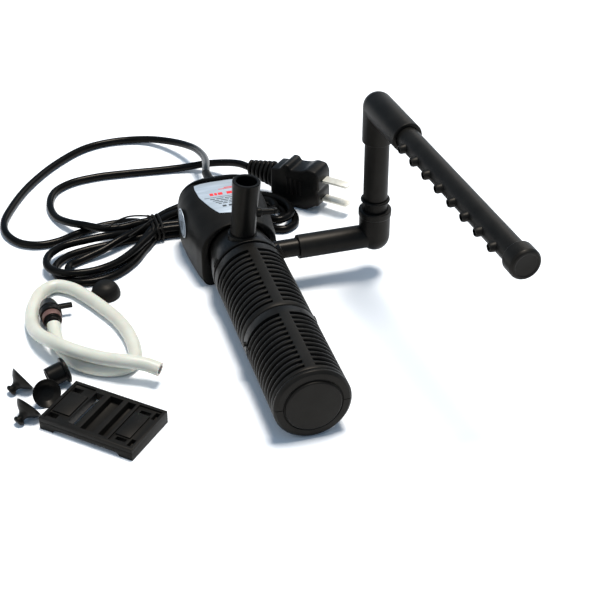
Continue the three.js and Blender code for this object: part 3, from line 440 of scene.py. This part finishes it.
LEAD_TO_PLUG = [
    (-46, 38.4, 6.9), (-56, 36.8, 7), (-66, 38.4, 7.2), (-76, 45, 7.2), (-84, 54, 5.2), (-90, 67, 2.6),
    (-91, 82, 2.2), (-86, 96, 2.2), (-75, 104, 2.2), (-58, 107, 2.2), (-38, 106, 2.2), (-18, 104, 2.2),
    (-3, 102, 3), (10, 98, 5.6), (21, 89, 9.6), (27.5, 79.5, 13), (31.6, 71.6, 14.3),
]
lead_line = smooth_path(LEAD_FROM_HEAD + HANK + LEAD_TO_PLUG)

lead_curve = bpy.data.curves.new("mains_lead", "CURVE")
lead_curve.dimensions = "3D"
lead_curve.bevel_depth = CORD_R * MM
lead_curve.bevel_resolution = 6
lead_curve.use_fill_caps = True
spline = lead_curve.splines.new("POLY")
spline.points.add(len(lead_line) - 1)
for point, place in zip(spline.points, lead_line):
    point.co = (*(place * MM), 1)
spline.use_smooth = True
lead_curve.materials.append(VINYL)
lead = bpy.data.objects.new("mains_lead", lead_curve)
bpy.context.scene.collection.objects.link(lead)
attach(lead, "filter")
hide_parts("cord_run_head", "cord_hank", "cord_run_plug")

HOSE_R, HOSE_BORE_R = 3.7, 2.5
HOSE_ROUTE = [
    (-108.6, -48.1, 6.2), (-109, -54, 4.8), (-108.8, -62, 3.9), (-106.8, -71.5, 3.8), (-102.4, -81, 3.8),
    (-94.5, -88.6, 3.8), (-85, -92.8, 3.8), (-77.6, -92.6, 3.8), (-72.6, -87.6, 3.8), (-70.8, -78, 3.8),
    (-71.2, -64.4, 3.8), (-74.5, -49.6, 3.8), (-79.6, -37.7, 3.8), (-86.7, -23.6, 3.8), (-94, -13, 3.8),
    (-102, -8.4, 3.8), (-110, -12.6, 3.8), (-116, -24, 3.8), (-119, -36, 4.2), (-119.2, -49, 6.2),
    (-116.6, -61, 9.2), (-111, -72, 11.6), (-104.6, -79.6, 11.8), (-96.8, -86, 11.2), (-87.7, -92.4, 11),
    (-78.5, -98, 11.6), (-69.2, -102.8, 11), (-63, -107.4, 9.8),
]
hose_line = smooth_path(HOSE_ROUTE, 1.5)


def hose_mesh():
    """A tube with a bore: the outer wall, the bore and a ring at each end."""
    outer = swept("hose_outer", hose_line, circle(HOSE_R, 32))
    inner = swept("hose_inner", hose_line, circle(HOSE_BORE_R, 32))
    points, faces = [], []
    for piece, flip in ((outer, False), (inner, True)):
        base = len(points)
        points += [tuple(v.co / MM) for v in piece.data.vertices]
        for face in piece.data.polygons:
            if len(face.vertices) == 4:
                ring = [base + i for i in face.vertices]
                faces.append(ring[::-1] if flip else ring)
    half = len(points) // 2
    for start in (0, half - 32):
        for i in range(32):
            j = (i + 1) % 32
            faces.append([start + i, start + j, half + start + j, half + start + i])
    bpy.data.objects.remove(outer)
    bpy.data.objects.remove(inner)
    return mesh_object("airline", points, faces)


hose = dressed(hose_mesh(), HOSE, "filter", ["airline_hose"], 60)

# ---- motor head -----------------------------------------------------------------------------------
AXIS_Z, LABEL_Z = 20, 39
# Each section: place along Y, half width, height above the axis, squareness of the arch.
HEAD_SECTIONS = [
    (-27, 21.6, 18.9, 2.2), (-20, 23, 19.3, 2.3), (-8, 24.2, 20.6, 2.5), (4, 24.8, 21.3, 2.9),
    (13, 25, 21.3, 3), (20, 24.6, 21, 3),
]
CAP_SECTIONS = [
    (20.3, 24.4, 21.4, 3), (22.0, 24.1, 21.1, 3), (23.5, 23.0, 20.0, 2.9), (24.4, 21.5, 18.6, 2.8),
]


def head_ring(section, steps=144):
    """One outline of the motor head: a rounded arch on top and a squarer base."""
    y, half_width, rise, power = section
    ring = []
    for i in range(steps):
        angle = 2 * math.pi * (i + 0.5) / steps
        c, s = math.cos(angle), math.sin(angle)
        exponent, height = (2 / power, rise) if s >= 0 else (2 / 7, 20.6)
        ring.append((half_width * math.copysign(abs(c) ** exponent, c), y,
                     AXIS_Z + height * math.copysign(abs(s) ** exponent, s)))
    return ring


def eased(sections, steps):
    """In-between sections, each measure interpolated in straight lines between the given ones."""
    keys = np.array([s[0] for s in sections])
    out = []
    for y in np.linspace(keys[0], keys[-1], steps):
        out.append((float(y), *(float(np.interp(y, keys, [s[k] for s in sections])) for k in (1, 2, 3))))
    return out


axis = aimed((0, 0, AXIS_Z), Y)
housing = lofted("motor_housing_shell", [head_ring(s) for s in eased(HEAD_SECTIONS, 34)])
joined(housing, [box("keep", (-40, -60, 0), (40, 60, LABEL_Z))], "INTERSECT")
recess = [(0, -30), (17.9, -30), (17.9, -22), (7, -22), (6.1, -22), (6.1, 0), (0, 0)]
joined(housing, [turned("recess", recess, axis)], "DIFFERENCE")
housing = bevelled(housing, 0.5, 3, 40)
dressed(housing, MATT, "filter", ["motor_housing"], 30)

cap = lofted("rear_cap_shell", [head_ring(s) for s in eased(CAP_SECTIONS, 10)])
joined(cap, [box("keep", (-40, 0, 0), (40, 60, LABEL_Z + 2))], "INTERSECT")
cap = bevelled(cap, 0.4, 2, 40)
dressed(cap, SATIN, "filter", ["rear_cap"], 30)

gland_profile = [(0, -2.6), (4.2, -2.6), (4.2, -0.3), (3.2, -0.3), (3.2, 4.5), (4.0, 4.7), (4.0, 6.2),
                 (3.3, 6.8), (3.0, 14), (2.5, 26.5), (0, 26.5)]
gland = turned("lead_gland", gland_profile, aimed((-1, 20, 29.4), Y), 48, 0.4)
dressed(gland, RUBBER, "filter", ["cord_gland"], 40)


def label_outline(inset=0.0, top=LABEL_Z):
    """The flat face's edge, from the sections on either side, drawn in by an inset."""
    keys = np.array([s[0] for s in HEAD_SECTIONS])
    edge = []
    for y in np.linspace(-15, 17, 24):
        half_width, rise, power = (
            float(np.interp(y, keys, [s[k] for s in HEAD_SECTIONS])) for k in (1, 2, 3))
        level = (top - AXIS_Z) / rise
        if level < 1:
            edge.append((half_width * (1 - level ** power) ** (1 / power) - 1.0 - inset, float(y)))
    edge += [(11, 18.4 - inset), (5, 19 - inset)]
    return [(0, -16.6 + inset), *edge, *[(-x, y) for x, y in edge[::-1]]]


label = bevelled(plate("label", label_outline(), LABEL_Z + 0.05, LABEL_Z + 0.4), 0.08, 2)
dressed(label, FOIL, "filter", ["front_label"])


def printed(name, marks, material, height=LABEL_Z + 0.42):
    """Thin blocks of ink that stand just proud of the label, from their corners on it."""
    parts = [box(name, (x0, y0, height - 0.05), (x1, y1, height + 0.03)) for x0, y0, x1, y1 in marks]
    return dressed(merged(name, parts), material, "filter")


red_marks = [(-8.6, 3.6, -6.6, 6.2), (-6.0, 3.6, -4.4, 6.2), (-3.8, 3.6, -1.2, 6.2), (1.2, 3.6, 4.4, 6.2),
             (5.0, 3.6, 8.4, 6.2), (-2.5, 9.4, 7.5, 9.9), (1.0, 10.5, 9.0, 11.2)]
ink_marks = [(-12.5, 1.4, 12.5, 1.8)]
for row, (half, y) in enumerate([(9.6, -0.6), (8.4, -2.4), (7.2, -4.2), (6.0, -6.0)]):
    x = -half
    for step in range(5):
        width = half * (0.30 + 0.14 * ((row + step) % 3))
        ink_marks.append((x, y, min(x + width, half), y + 0.75))
        x += width + 0.7
        if x > half:
            break
ink_marks += [(-4.4, -9.4, -2.2, -7.6), (-0.8, -9.4, 1.4, -7.6)]
printed("label_red", red_marks, RED)
printed("label_ink", ink_marks, INK)

side = aimed((-24.95, 6, AXIS_Z + 3), -X)
badge = turned("badge", [(0, 0), (8.5, 0), (8.5, 0.35), (0, 0.35)], side, 72, 0.12)
dressed(badge, FOIL, "filter", ["side_badge"])
badge_marks = [turned("badge_ring", [(7.2, 0.3), (7.7, 0.3), (7.7, 0.42), (7.2, 0.42), (7.2, 0.3)], side, 72)]
BADGE_BARS = [(-4.5, 2.4, 4.6, 1.0), (-5.2, 0.2, 6.2, 1.0), (-3.0, -2.4, 5.4, 1.0), (1.0, 3.8, 2.4, 0.8)]
for u, v, width, height in BADGE_BARS:
    badge_marks.append(box("badge_bar", (u, v, 0.3), (u + width, v + height, 0.42), side))
dressed(merged("badge_marks", badge_marks), INK, "filter")

# ---- impeller chamber, nozzle and spout -----------------------------------------------------------
NOZZLE_PLACE = (0, -38, 24)
lean = Matrix.Translation((-1.1, -39, 36)) @ Matrix.Rotation(math.radians(5), 4, "Y")
dome = turned("impeller_housing", [
    (0, -49.7), (18.5, -49.7), (18.5, -48.6), (20, -48.6), (20, -46.6), (19.5, -42), (18.4, -36),
    (17.3, -30.5), (16.6, -26), (16.6, -22.3), (0, -22.3)], axis, 144, 0.6)
joined(dome, [
    turned("nozzle", [(0, 10), (5.2, 10), (5.2, 40), (0, 40)], aimed(NOZZLE_PLACE, X), 64),
    turned("collar", [(0, -6), (8.1, -6), (8.1, 3.4), (7.6, 3.9), (0, 3.9)], lean, 64),
], "UNION")
joined(dome, [
    turned("bore", [(0, 8), (3.9, 8), (3.9, 41), (0, 41)], aimed(NOZZLE_PLACE, X), 48),
    turned("seat", [(0, -9), (5.7, -9), (5.7, -0.1), (7.0, -0.1), (7.0, 30), (0, 30)], lean, 64),
    turned("room", [(0, -51), (17.8, -51), (17.8, -46.5), (7.5, -46.5), (7.5, -44), (12.5, -44), (12.5, -20),
                    (0, -20)], axis, 96),
], "DIFFERENCE")
dressed(dome, SATIN, "filter", ["impeller_chamber"], 32)
spider = [turned("hub", [(2.7, -46.5), (4, -46.5), (4, -44), (2.7, -44), (2.7, -46.5)], axis, 48)]
for k in range(3):
    spoke = axis @ Matrix.Rotation(2 * math.pi * k / 3, 4, "Z")
    spider.append(box("arm", (3.6, -0.9, -46.5), (8.5, 0.9, -44), spoke))
dressed(merged("chamber_spider", spider), SATIN, "filter")


def lug(name, angle, y0, y1, radius, rise, half):
    """A small block standing on the canister's skin, at an angle from the top."""
    turn = math.radians(angle)
    out = Vector((math.sin(turn), 0, math.cos(turn)))
    at = Matrix.Translation((0, 0, AXIS_Z)) @ Matrix(((math.cos(turn), 0, out.x, 0), (0, 1, 0, 0),
                                                     (-math.sin(turn), 0, out.z, 0), (0, 0, 0, 1)))
    return bevelled(box(name, (-half, y0, radius - 1.2), (half, y1, radius + rise), at), 0.35, 2)


lugs = [lug("lug", 63, -50.4, -45.0, 20, 1.6, 3.4), lug("lug", -66, -47.8, -46.7, 20, 0.5, 2.6),
        lug("lug", -66, -45.6, -44.9, 19.6, 0.5, 2.2)]
dressed(merged("bayonet_lugs", lugs), SATIN, "filter")

spout = turned("spout", [
    (5.7, 0), (6.9, 0), (6.9, 10), (6.95, 18), (7.2, 25), (7.55, 31.5), (7.7, 33), (7.7, 35.6), (7.3, 36),
    (6.1, 36), (5.7, 35.6), (5.7, 0)], lean, 96)
across = lean @ Matrix.Translation((0, 0, 15.8)) @ Matrix.Rotation(math.pi / 2, 4, "Y")
nipple_profile = [(0, 6.1), (2.7, 6.1), (2.7, 9.1), (2.4, 9.5), (1.7, 9.6), (1.65, 16.4), (1.9, 16.9),
                  (1.5, 18.5), (0, 18.5)]
nipple = turned("nipple", nipple_profile, across, 48, 0.1)
joined(spout, [nipple], "UNION")
joined(spout, [turned("nipple_bore", [(0, 3), (0.8, 3), (0.8, 19), (0, 19)], across, 32)], "DIFFERENCE")
dressed(spout, SATIN, "filter", ["outlet_spout"], 34)

# ---- strainer canister ----------------------------------------------------------------------------
CAN_R, CAN_WALL = 20, 1.8


def strainer(name, y_low, y_high, first, last, rows, slot_width):
    """A tube with rows of curved slots between three plain bands; the bars between slots are crowned."""
    sides = 144
    pitch = (last - first) / rows
    stations = [(y_low, -0.9, False), (y_low + 0.35, -0.3, False), (y_low + 0.9, 0, False)]
    bar = pitch - slot_width
    stations.append((first + (pitch - slot_width) / 2, 0, True))
    for row in range(1, rows):
        middle = first + pitch * (row + 0.5)
        for s in (-1, -0.8, -0.4, 0.4, 0.8, 1):
            stations.append((middle - pitch / 2 + s * bar / 2, -0.5 * abs(s) ** 3, s == 1))
    stations.append((last - pitch / 2 + slot_width / 2, 0, False))
    stations += [(y_high - 0.9, 0, False), (y_high - 0.35, -0.3, False), (y_high, -0.9, False)]
    points, faces = [], []
    open_cell = [[False] * sides for _ in stations]
    step = 360 / sides
    inside = []
    for i in range(sides):
        angle = (i * step) % 120
        inside.append(7.5 < angle < 112.5)
        for j in range(len(stations)):
            open_cell[j][i] = stations[j][2] and 7.5 <= angle < 112.5
    for y, crown, _ in stations:
        for i in range(sides):
            turn = math.radians(i * step)
            ends = y <= stations[2][0] or y >= stations[-3][0]
            radius = CAN_R + (crown if (inside[i] or ends) else 0)
            points.append((radius * math.sin(turn), y, AXIS_Z + radius * math.cos(turn)))
    outer = len(points)
    for y, _, _ in stations:
        for i in range(sides):
            turn = math.radians(i * step)
            radius = CAN_R - CAN_WALL
            points.append((radius * math.sin(turn), y, AXIS_Z + radius * math.cos(turn)))
    last_row = len(stations) - 1
    for j in range(last_row):
        for i in range(sides):
            k = (i + 1) % sides
            a, b, c, d = j * sides + i, j * sides + k, (j + 1) * sides + k, (j + 1) * sides + i
            if not open_cell[j][i]:
                faces.append([a, b, c, d])
                faces.append([outer + d, outer + c, outer + b, outer + a])
                continue
            if not open_cell[j][i - 1]:
                faces.append([a, d, outer + d, outer + a])
            if not open_cell[j][k]:
                faces.append([c, b, outer + b, outer + c])
            faces.append([b, a, outer + a, outer + b])
            faces.append([d, c, outer + c, outer + d])
    for i in range(sides):
        k = (i + 1) % sides
        low, high = last_row * sides + i, last_row * sides + k
        faces.append([k, i, outer + i, outer + k])
        faces.append([low, high, outer + high, outer + low])
    return mesh_object(name, points, faces)


upper = strainer("strainer_upper_shell", -111, -50, -108.3, -55.3, 12, 2.2)
dressed(upper, PLASTIC, "upper_strainer", ["strainer_upper"], 40)
lower = strainer("strainer_lower_shell", -166.2, -111.3, -164.6, -116.5, 12, 2.1)
dressed(lower, PLASTIC, "lower_strainer", ["strainer_lower"], 40)
spigot = turned("lower_spigot", [(16.4, -114), (18.1, -114), (17.6, -111.3), (17.6, -107.3), (16.4, -107.3),
                                 (16.4, -114)], axis, 96, 0.2)
dressed(spigot, PLASTIC, "lower_strainer")
tabs = [lug("tab", -84, -116.0, -113.6, 20, 1.0, 0.9), lug("tab", -80, -121.4, -120.2, 20, 0.6, 0.8)]
dressed(merged("section_tabs", tabs), PLASTIC, "lower_strainer")
upper_tab = lug("tab", 74, -110.4, -107.6, 20, 0.5, 1.8)
dressed(merged("upper_tabs", [upper_tab]), PLASTIC, "upper_strainer")

end_cap = turned("end_cap_shell", [
    (0, -170.5), (13.8, -170.5), (14.4, -169.9), (14.4, -168.9), (15.0, -168.9), (15.3, -169.4),
    (18.6, -169.3), (20, -167.9), (20, -166.5), (17.5, -166.5), (17.5, -162.5), (16.3, -162.5),
    (16.3, -167.5), (0, -167.5)], axis, 144, 0.4)
joined(end_cap, [box("notch", (15.2, -0.18, -171), (21, 0.18, -168.6), axis),
                 box("notch", (-21, -0.18, -171), (-15.2, 0.18, -168.6), axis)], "DIFFERENCE")
dressed(end_cap, PLASTIC, "end_cap", ["strainer_end_cap"], 30)

# ---- elbows, riser and spray bar ------------------------------------------------------------------
KNEE, TOP = Vector((75.5, -38, 24)), Vector((75.5, -38, 104.5))
YAW = math.radians(5)
BAR = Vector((math.sin(YAW), -math.cos(YAW), 0))


def ball(name, radius, place):
    """A turned ball that rounds an elbow's corner."""
    steps = 24
    return turned(name, [(radius * math.sin(math.pi * i / steps), -radius * math.cos(math.pi * i / steps))
                         for i in range(steps + 1)], Matrix.Translation(place), 64)


def rod(name, radius, low, high, at, sides=96, round_by=0.0):
    """A solid round bar between two heights."""
    return turned(name, [(0, low), (radius, low), (radius, high), (0, high)], at, sides, round_by)


upright, foot = Matrix.Translation((KNEE.x, KNEE.y, 0)), aimed((0, KNEE.y, KNEE.z), X)
lower_elbow = rod("lower_elbow_shell", 6.75, 30.5, 75.5, foot, 96, 0.5)
rim = [(0, 37.2), (8.7, 37.2), (9.2, 37.8), (9.2, 41.1), (8.8, 41.5), (0, 41.5)]
joined(lower_elbow, [ball("corner", 8.6, KNEE), rod("socket", 8.7, 24, 38.5, upright),
                     turned("rim", rim, upright, 96, 0.3)], "UNION")
joined(lower_elbow, [
    rod("mouth", 5.5, 29, 42, foot), rod("arm_bore", 5.2, 41, 75.5, foot), ball("knee", 5.2, KNEE),
    rod("socket_bore", 7.1, 31.7, 43, upright), rod("passage", 5.2, 24, 33, upright)], "DIFFERENCE")
dressed(lower_elbow, PLASTIC, "lower_elbow", ["lower_elbow"], 32)

riser = turned("riser_pipe", [
    (5.2, 32), (6.8, 32), (6.8, 46.3), (6.2, 46.3), (6.2, 48.5), (6.8, 48.5), (6.8, 97), (5.2, 97),
    (5.2, 32)], upright, 96, 0.15)
dressed(riser, PLASTIC, "riser", ["riser_tube"], 34)
bead = [(7.2 + 0.95 * math.cos(t), 47.4 + 0.85 * math.sin(t)) for t in np.linspace(0, 2 * math.pi, 17)]
dressed(turned("riser_bead", bead, upright), RUBBER, "riser", ["riser_ring"], 60)

branch = aimed(TOP, BAR)
upper_elbow = rod("upper_elbow_shell", 8.3, 84, 104.5, upright, 96, 0.5)
joined(upper_elbow, [ball("corner", 8.3, TOP), rod("branch", 8.3, 0, 37, branch, 96, 0.5)], "UNION")
joined(upper_elbow, [
    rod("socket_bore", 7.1, 83, 97.3, upright), rod("passage", 5.2, 96, 104.5, upright),
    ball("knee", 5.2, TOP), rod("channel", 5.2, 0, 25, branch), rod("mouth", 6.6, 23.7, 38, branch),
], "DIFFERENCE")
dressed(upper_elbow, PLASTIC, "upper_elbow", ["upper_elbow"], 32)

level_left = Vector((-math.cos(YAW), -math.sin(YAW), 0))
jet_way = level_left * math.cos(math.radians(2)) - Z * math.sin(math.radians(2))
bar = turned("spray_pipe", [(4.9, 24), (6.25, 24), (6.25, 154.5), (4.9, 154.5), (4.9, 24)], branch, 96)
JET_COUNT, FIRST_JET, JET_PITCH = 8, 46, 14
jet_places = [aimed(TOP + BAR * (FIRST_JET + JET_PITCH * k), jet_way) for k in range(JET_COUNT)]
jet_profile = [(0, 5), (2.8, 5), (2.5, 6.6), (2.4, 8.2), (2.0, 9.0), (0, 9.0)]
joined(bar, [turned("jet", jet_profile, place, 32) for place in jet_places], "UNION")
joined(bar, [rod("jet_bore", 1.4, 3.8, 10, place, 20) for place in jet_places], "DIFFERENCE")
dressed(bar, PLASTIC, "spray_bar", ["spray_bar"], 34)
bar_cap = turned("spray_cap", [
    (0, 148.5), (4.6, 148.5), (4.6, 154.8), (7.7, 154.8), (8.1, 155.4), (8.1, 162.6), (7.2, 164), (6.0, 164),
    (5.7, 163.7), (0, 163.5)], branch, 96, 0.5)
dressed(bar_cap, PLASTIC, "spray_bar_cap", ["spray_bar_cap"], 30)

# ---- plug -----------------------------------------------------------------------------------------
plug_at = Matrix.Translation((32, 71, 14.4)) @ Matrix.Rotation(math.radians(-45.5), 4, "Z")
upright_side = plug_at @ Matrix.Rotation(math.pi / 2, 4, "X")
side_outline = fillet([
    (19, 0), (19, -9), (25, -10.5), (27, -14.2), (43, -14.2), (50, -9.6), (52, -9.2), (52, -2), (51, 0),
    (52, 2), (52, 9.6), (50, 13.8), (44, 14.2), (40, 12.0), (33, 10.8), (31.4, 13.4), (27.8, 13.6),
    (25, 9.4), (19, 8.5), (19, 0)], 1.8, 4)[:-1]
plug_body = bevelled(plate("plug_shell", side_outline, -7.5, 7.5, upright_side), 1.5, 3, 60)
grips = []
for low in (7.1, -8.1):
    for k in range(4):
        start, half = 30 + 3 * k, 6 - 0.4 * k
        grips.append(box("grip", (start, -half, low), (start + 1.4, half, low + 1), upright_side))
plug_body = merged("plug_shell", [plug_body, *[bevelled(g, 0.3, 2) for g in grips]])
dressed(plug_body, PLUG, "filter", ["plug_body"], 36)
along_plug = plug_at @ Matrix.Rotation(math.pi / 2, 4, "Y")
spine = [(0, 0.3), (2.6, 0.3), (3.2, 8), (4.2, 18.7), (0, 18.7)]
relief = [turned("spine", spine, along_plug, 48, 0, (1.25, 1))]
for k in range(6):
    grow, start = k / 5, 0.3 + 3.1 * k
    rib = [(0, start), (1, start), (1, start + 1.9), (0, start + 1.9)]
    relief.append(turned("rib", rib, along_plug, 64, 0, (5.4 + 3.2 * grow, 3.8 + 2.2 * grow)))
relief = [bevelled(r, 0.45, 3, 50) for r in relief]
plug_relief = dressed(merged("plug_sleeve", relief), PLUG, "filter", ["plug_relief"], 36)
blade_outline = fillet([
    (52.3, 0), (52.3, -3.175), (68, -3.175), (69, -2.2), (69, 2.2), (68, 3.175), (52.3, 3.175),
    (52.3, 0)], 0.6, 3)[:-1]
for name, height in (("plug_blade_upper", 6.35), ("plug_blade_lower", -6.35)):
    blade = plate(name + "_metal", blade_outline, height - 0.75, height + 0.75, plug_at)
    dressed(bevelled(blade, 0.2, 2, 50), NICKEL, "filter", [name])

# ---- tie round the hank ---------------------------------------------------------------------------
tie_turns = []
for x in (-38.2, -35.6, -33.0):
    corners = fillet([(33.7, 0.7), (24.6, 0.7), (24.6, 9.5), (43, 9.5), (43, 0.7), (33.7, 0.7)], 3.4, 6)[:-1]
    loop = [Vector((x + 0.4 * math.sin(i), y, z)) for i, (y, z) in enumerate(corners)]
    tie_turns.append(swept("tie_turn", loop, circle(0.8, 10), True))
tails = [
    smooth_path([(-36, 36, 11.4), (-43, 38.5, 11.8), (-51, 38.6, 12.4), (-60, 34, 12.6), (-64, 31, 12.2),
                 (-68, 34.5, 12.0)], 0.8),
    smooth_path([(-36, 34, 11.4), (-41, 29.5, 11.8), (-47, 24, 11.6), (-54, 19.6, 11.0)], 0.8)]
tie_turns += [swept("tie_tail", tail, circle(0.55, 10)) for tail in tails]
tie = dressed(merged("hank_tie", tie_turns), RUBBER, "filter", ["cord_tie"], 60)

# ---- bracket --------------------------------------------------------------------------------------
bracket_at = Matrix.Translation((-97, -131.2, 0)) @ Matrix.Rotation(math.radians(-43.5), 4, "Z")
U, V, H = 27.0, 16.5, 7.0
bracket = box("bracket_frame", (-U, -V, 0), (U, V, H), bracket_at)
cuts = [
    box("under", (-U + 1.8, -V + 1.8, -1), (U - 1.8, V - 1.8, 2.4), bracket_at),
    box("left_sink", (-U + 1.6, -V + 1.8, 6.0), (-13.6, V - 1.8, 8), bracket_at),
    box("window", (-12.4, -V + 3.6, -1), (-8.0, V - 3.6, 8), bracket_at),
    box("strip", (-4.4, -V + 2.6, 3.0), (3.2, V - 2.6, 8), bracket_at),
    box("strip", (6.0, -V + 2.6, 3.0), (10.6, V - 2.6, 8), bracket_at),
    box("right_sink", (12.2, -V + 1.8, 6.0), (U - 1.6, V - 1.8, 8), bracket_at),
]
arch = fillet([(-U + 7, -1), (-U + 9, 2.0), (U - 9, 2.0), (U - 7, -1)], 1.5)
lying = bracket_at @ Matrix.Rotation(math.pi / 2, 4, "X")
cuts.append(plate("arch", arch, -V - 1, V + 1, lying))
for row in (-1, 1):
    low, high = sorted((row * (V - 7.4), row * (V - 4.0)))
    cuts.append(box("mouth", (-U + 1.8, low, -1), (7.4 - U, high, 8), bracket_at))
    low, high = sorted((row * (V - 6.6), row * (V - 4.2)))
    cuts.append(box("bite", (U - 12.4, low, -1), (U - 6.6, high, 8), bracket_at))
    low, high = sorted((row * (V - 8), row * (V - 2.6)))
    cuts.append(box("corner", (U - 4.8, low, 3.4), (U - 1.8, high, 8), bracket_at))
joined(bracket, cuts, "DIFFERENCE")
pads = [box("pad", (-U + 2.6, -8.4, 5.4), (-14.4, 8.4, 6.9), bracket_at),
        box("pad", (13.0, -9.2, 5.4), (U - 5.6, 9.2, 6.9), bracket_at)]
joined(bracket, pads, "UNION")
seam = [box("seam", (-U - 0.1, -V - 0.1, 4.4), (U + 0.1, -V + 0.15, 4.65), bracket_at)]
joined(bracket, seam, "DIFFERENCE")
bracket = bevelled(bracket, 0.35, 2, 50)
dressed(bracket, MATT, "filter", ["mounting_bracket"], 30)

# ---- suction cups, sleeve and valve ---------------------------------------------------------------
CUP_R = 7.4
CUP_PROFILE = [
    (0, 2.9), (0.30 * CUP_R, 2.7), (0.55 * CUP_R, 2.1), (0.96 * CUP_R, 0), (CUP_R, 0.3), (0.9 * CUP_R, 1.5),
    (0.7 * CUP_R, 3.1), (2.8, 4.8), (2.0, 6.0), (1.9, 7.4), (2.8, 8.0), (2.9, 9.2), (2.1, 9.9), (0, 10)]
dome_cup = turned("suction_cup_dome", [
    (0, 2.2), (5, 1.7), (7.4, 0.3), (8.0, 0), (8.3, 0.6), (8.1, 2.8), (7.0, 5.4), (5.2, 7.2), (2.8, 8.3),
    (0, 8.5)], Matrix.Translation((-75.5, -19.5, 0)), 96, 0.8)
dressed(dome_cup, RUBBER, "filter", ["suction_cup_1"], 50)
cup_tilt = math.atan2(CUP_R - 2.8, 8.5)


def leaning(turn, tilt):
    """The direction at a heading over the table, raised by a tilt."""
    return Vector((math.cos(turn) * math.cos(tilt), math.sin(turn) * math.cos(tilt), math.sin(tilt)))


for name, x, y, yaw in (("suction_cup_2", -121, -106.4, -80), ("suction_cup_3", -130.5, -90.5, 22),
                        ("suction_cup_4", -131, -114.5, 35)):
    lying_at = aimed((x, y, CUP_R * math.cos(cup_tilt) + 0.1), -leaning(math.radians(yaw), cup_tilt))
    cup = turned(name + "_rubber", CUP_PROFILE, lying_at, 80, 0.35)
    dressed(cup, SATIN, "filter", [name], 50)

sleeve_at = aimed((-118.8, -92.8, 5.4), leaning(math.radians(12), math.atan2(1.8, 9)))
sleeve = turned("sleeve", [
    (4, 0), (5.1, 0), (5.3, 0.8), (5.3, 9), (6.9, 9.1), (7, 9.6), (7, 10.4), (5.6, 11.2), (4, 11.2),
    (4, 0)], sleeve_at, 80, 0.25)
dressed(sleeve, SATIN, "filter", ["adapter_sleeve"], 40)

valve_at = aimed((-108.6, -47, 6.2), Y)
valve_body = turned("valve_core", [
    (0, 0), (3.5, 0), (3.6, 1.6), (4.6, 2), (4.6, 6.9), (5.9, 7.3), (6.1, 10.4), (0, 10.4)],
    valve_at, 64, 0.25)
dressed(valve_body, SATIN, "filter", ["valve_body"])
ring = turned("valve_collar", [(4.8, 2.6), (5.2, 2.6), (5.3, 6.6), (4.8, 6.6), (4.8, 2.6)], valve_at, 80)
dressed(bevelled(ring, 0.25, 2), COPPER, "filter", ["valve_ring"])
knob = turned("valve_cap", [
    (0, 10.8), (6.1, 10.8), (6.1, 12.0), (5.4, 14.2), (4.7, 17.4), (4.0, 19.4), (2.6, 20.1), (0, 20.2)],
    valve_at, 80, 0.5)
knob = joined(knob, [bevelled(box("lever", (4, -1.2, 13.4), (12.6, 1.2, 16.2), valve_at), 0.5, 3)], "UNION")
dressed(knob, SATIN, "valve_knob", ["valve_knob"], 34)

# ---- inside pieces keep their CAD shapes ----------------------------------------------------------
INSIDE = {
    "stator_core": STEEL, "coil_bobbin": BOBBIN, "coil_winding": WIRE, "rotor_magnet": FERRITE,
    "rotor_shaft": CERAMIC, "rear_bush": RUBBER, "front_bush": RUBBER, "impeller": NYLON,
    "chamber_seal": RUBBER,
}
for node, material in INSIDE.items():
    NODES[node].data.materials.clear()
    NODES[node].data.materials.append(material)
for name, low, high, body, node in (("foam_upper", -107, -51, "upper_strainer", "sponge_upper"),
                                    ("foam_lower", -162.2, -108, "lower_strainer", "sponge_lower")):
    foam = turned(name, [(6, low), (15.6, low), (15.6, high), (6, high), (6, low)], axis, 96, 0.5)
    dressed(foam, FOAM, body, [node], 50)
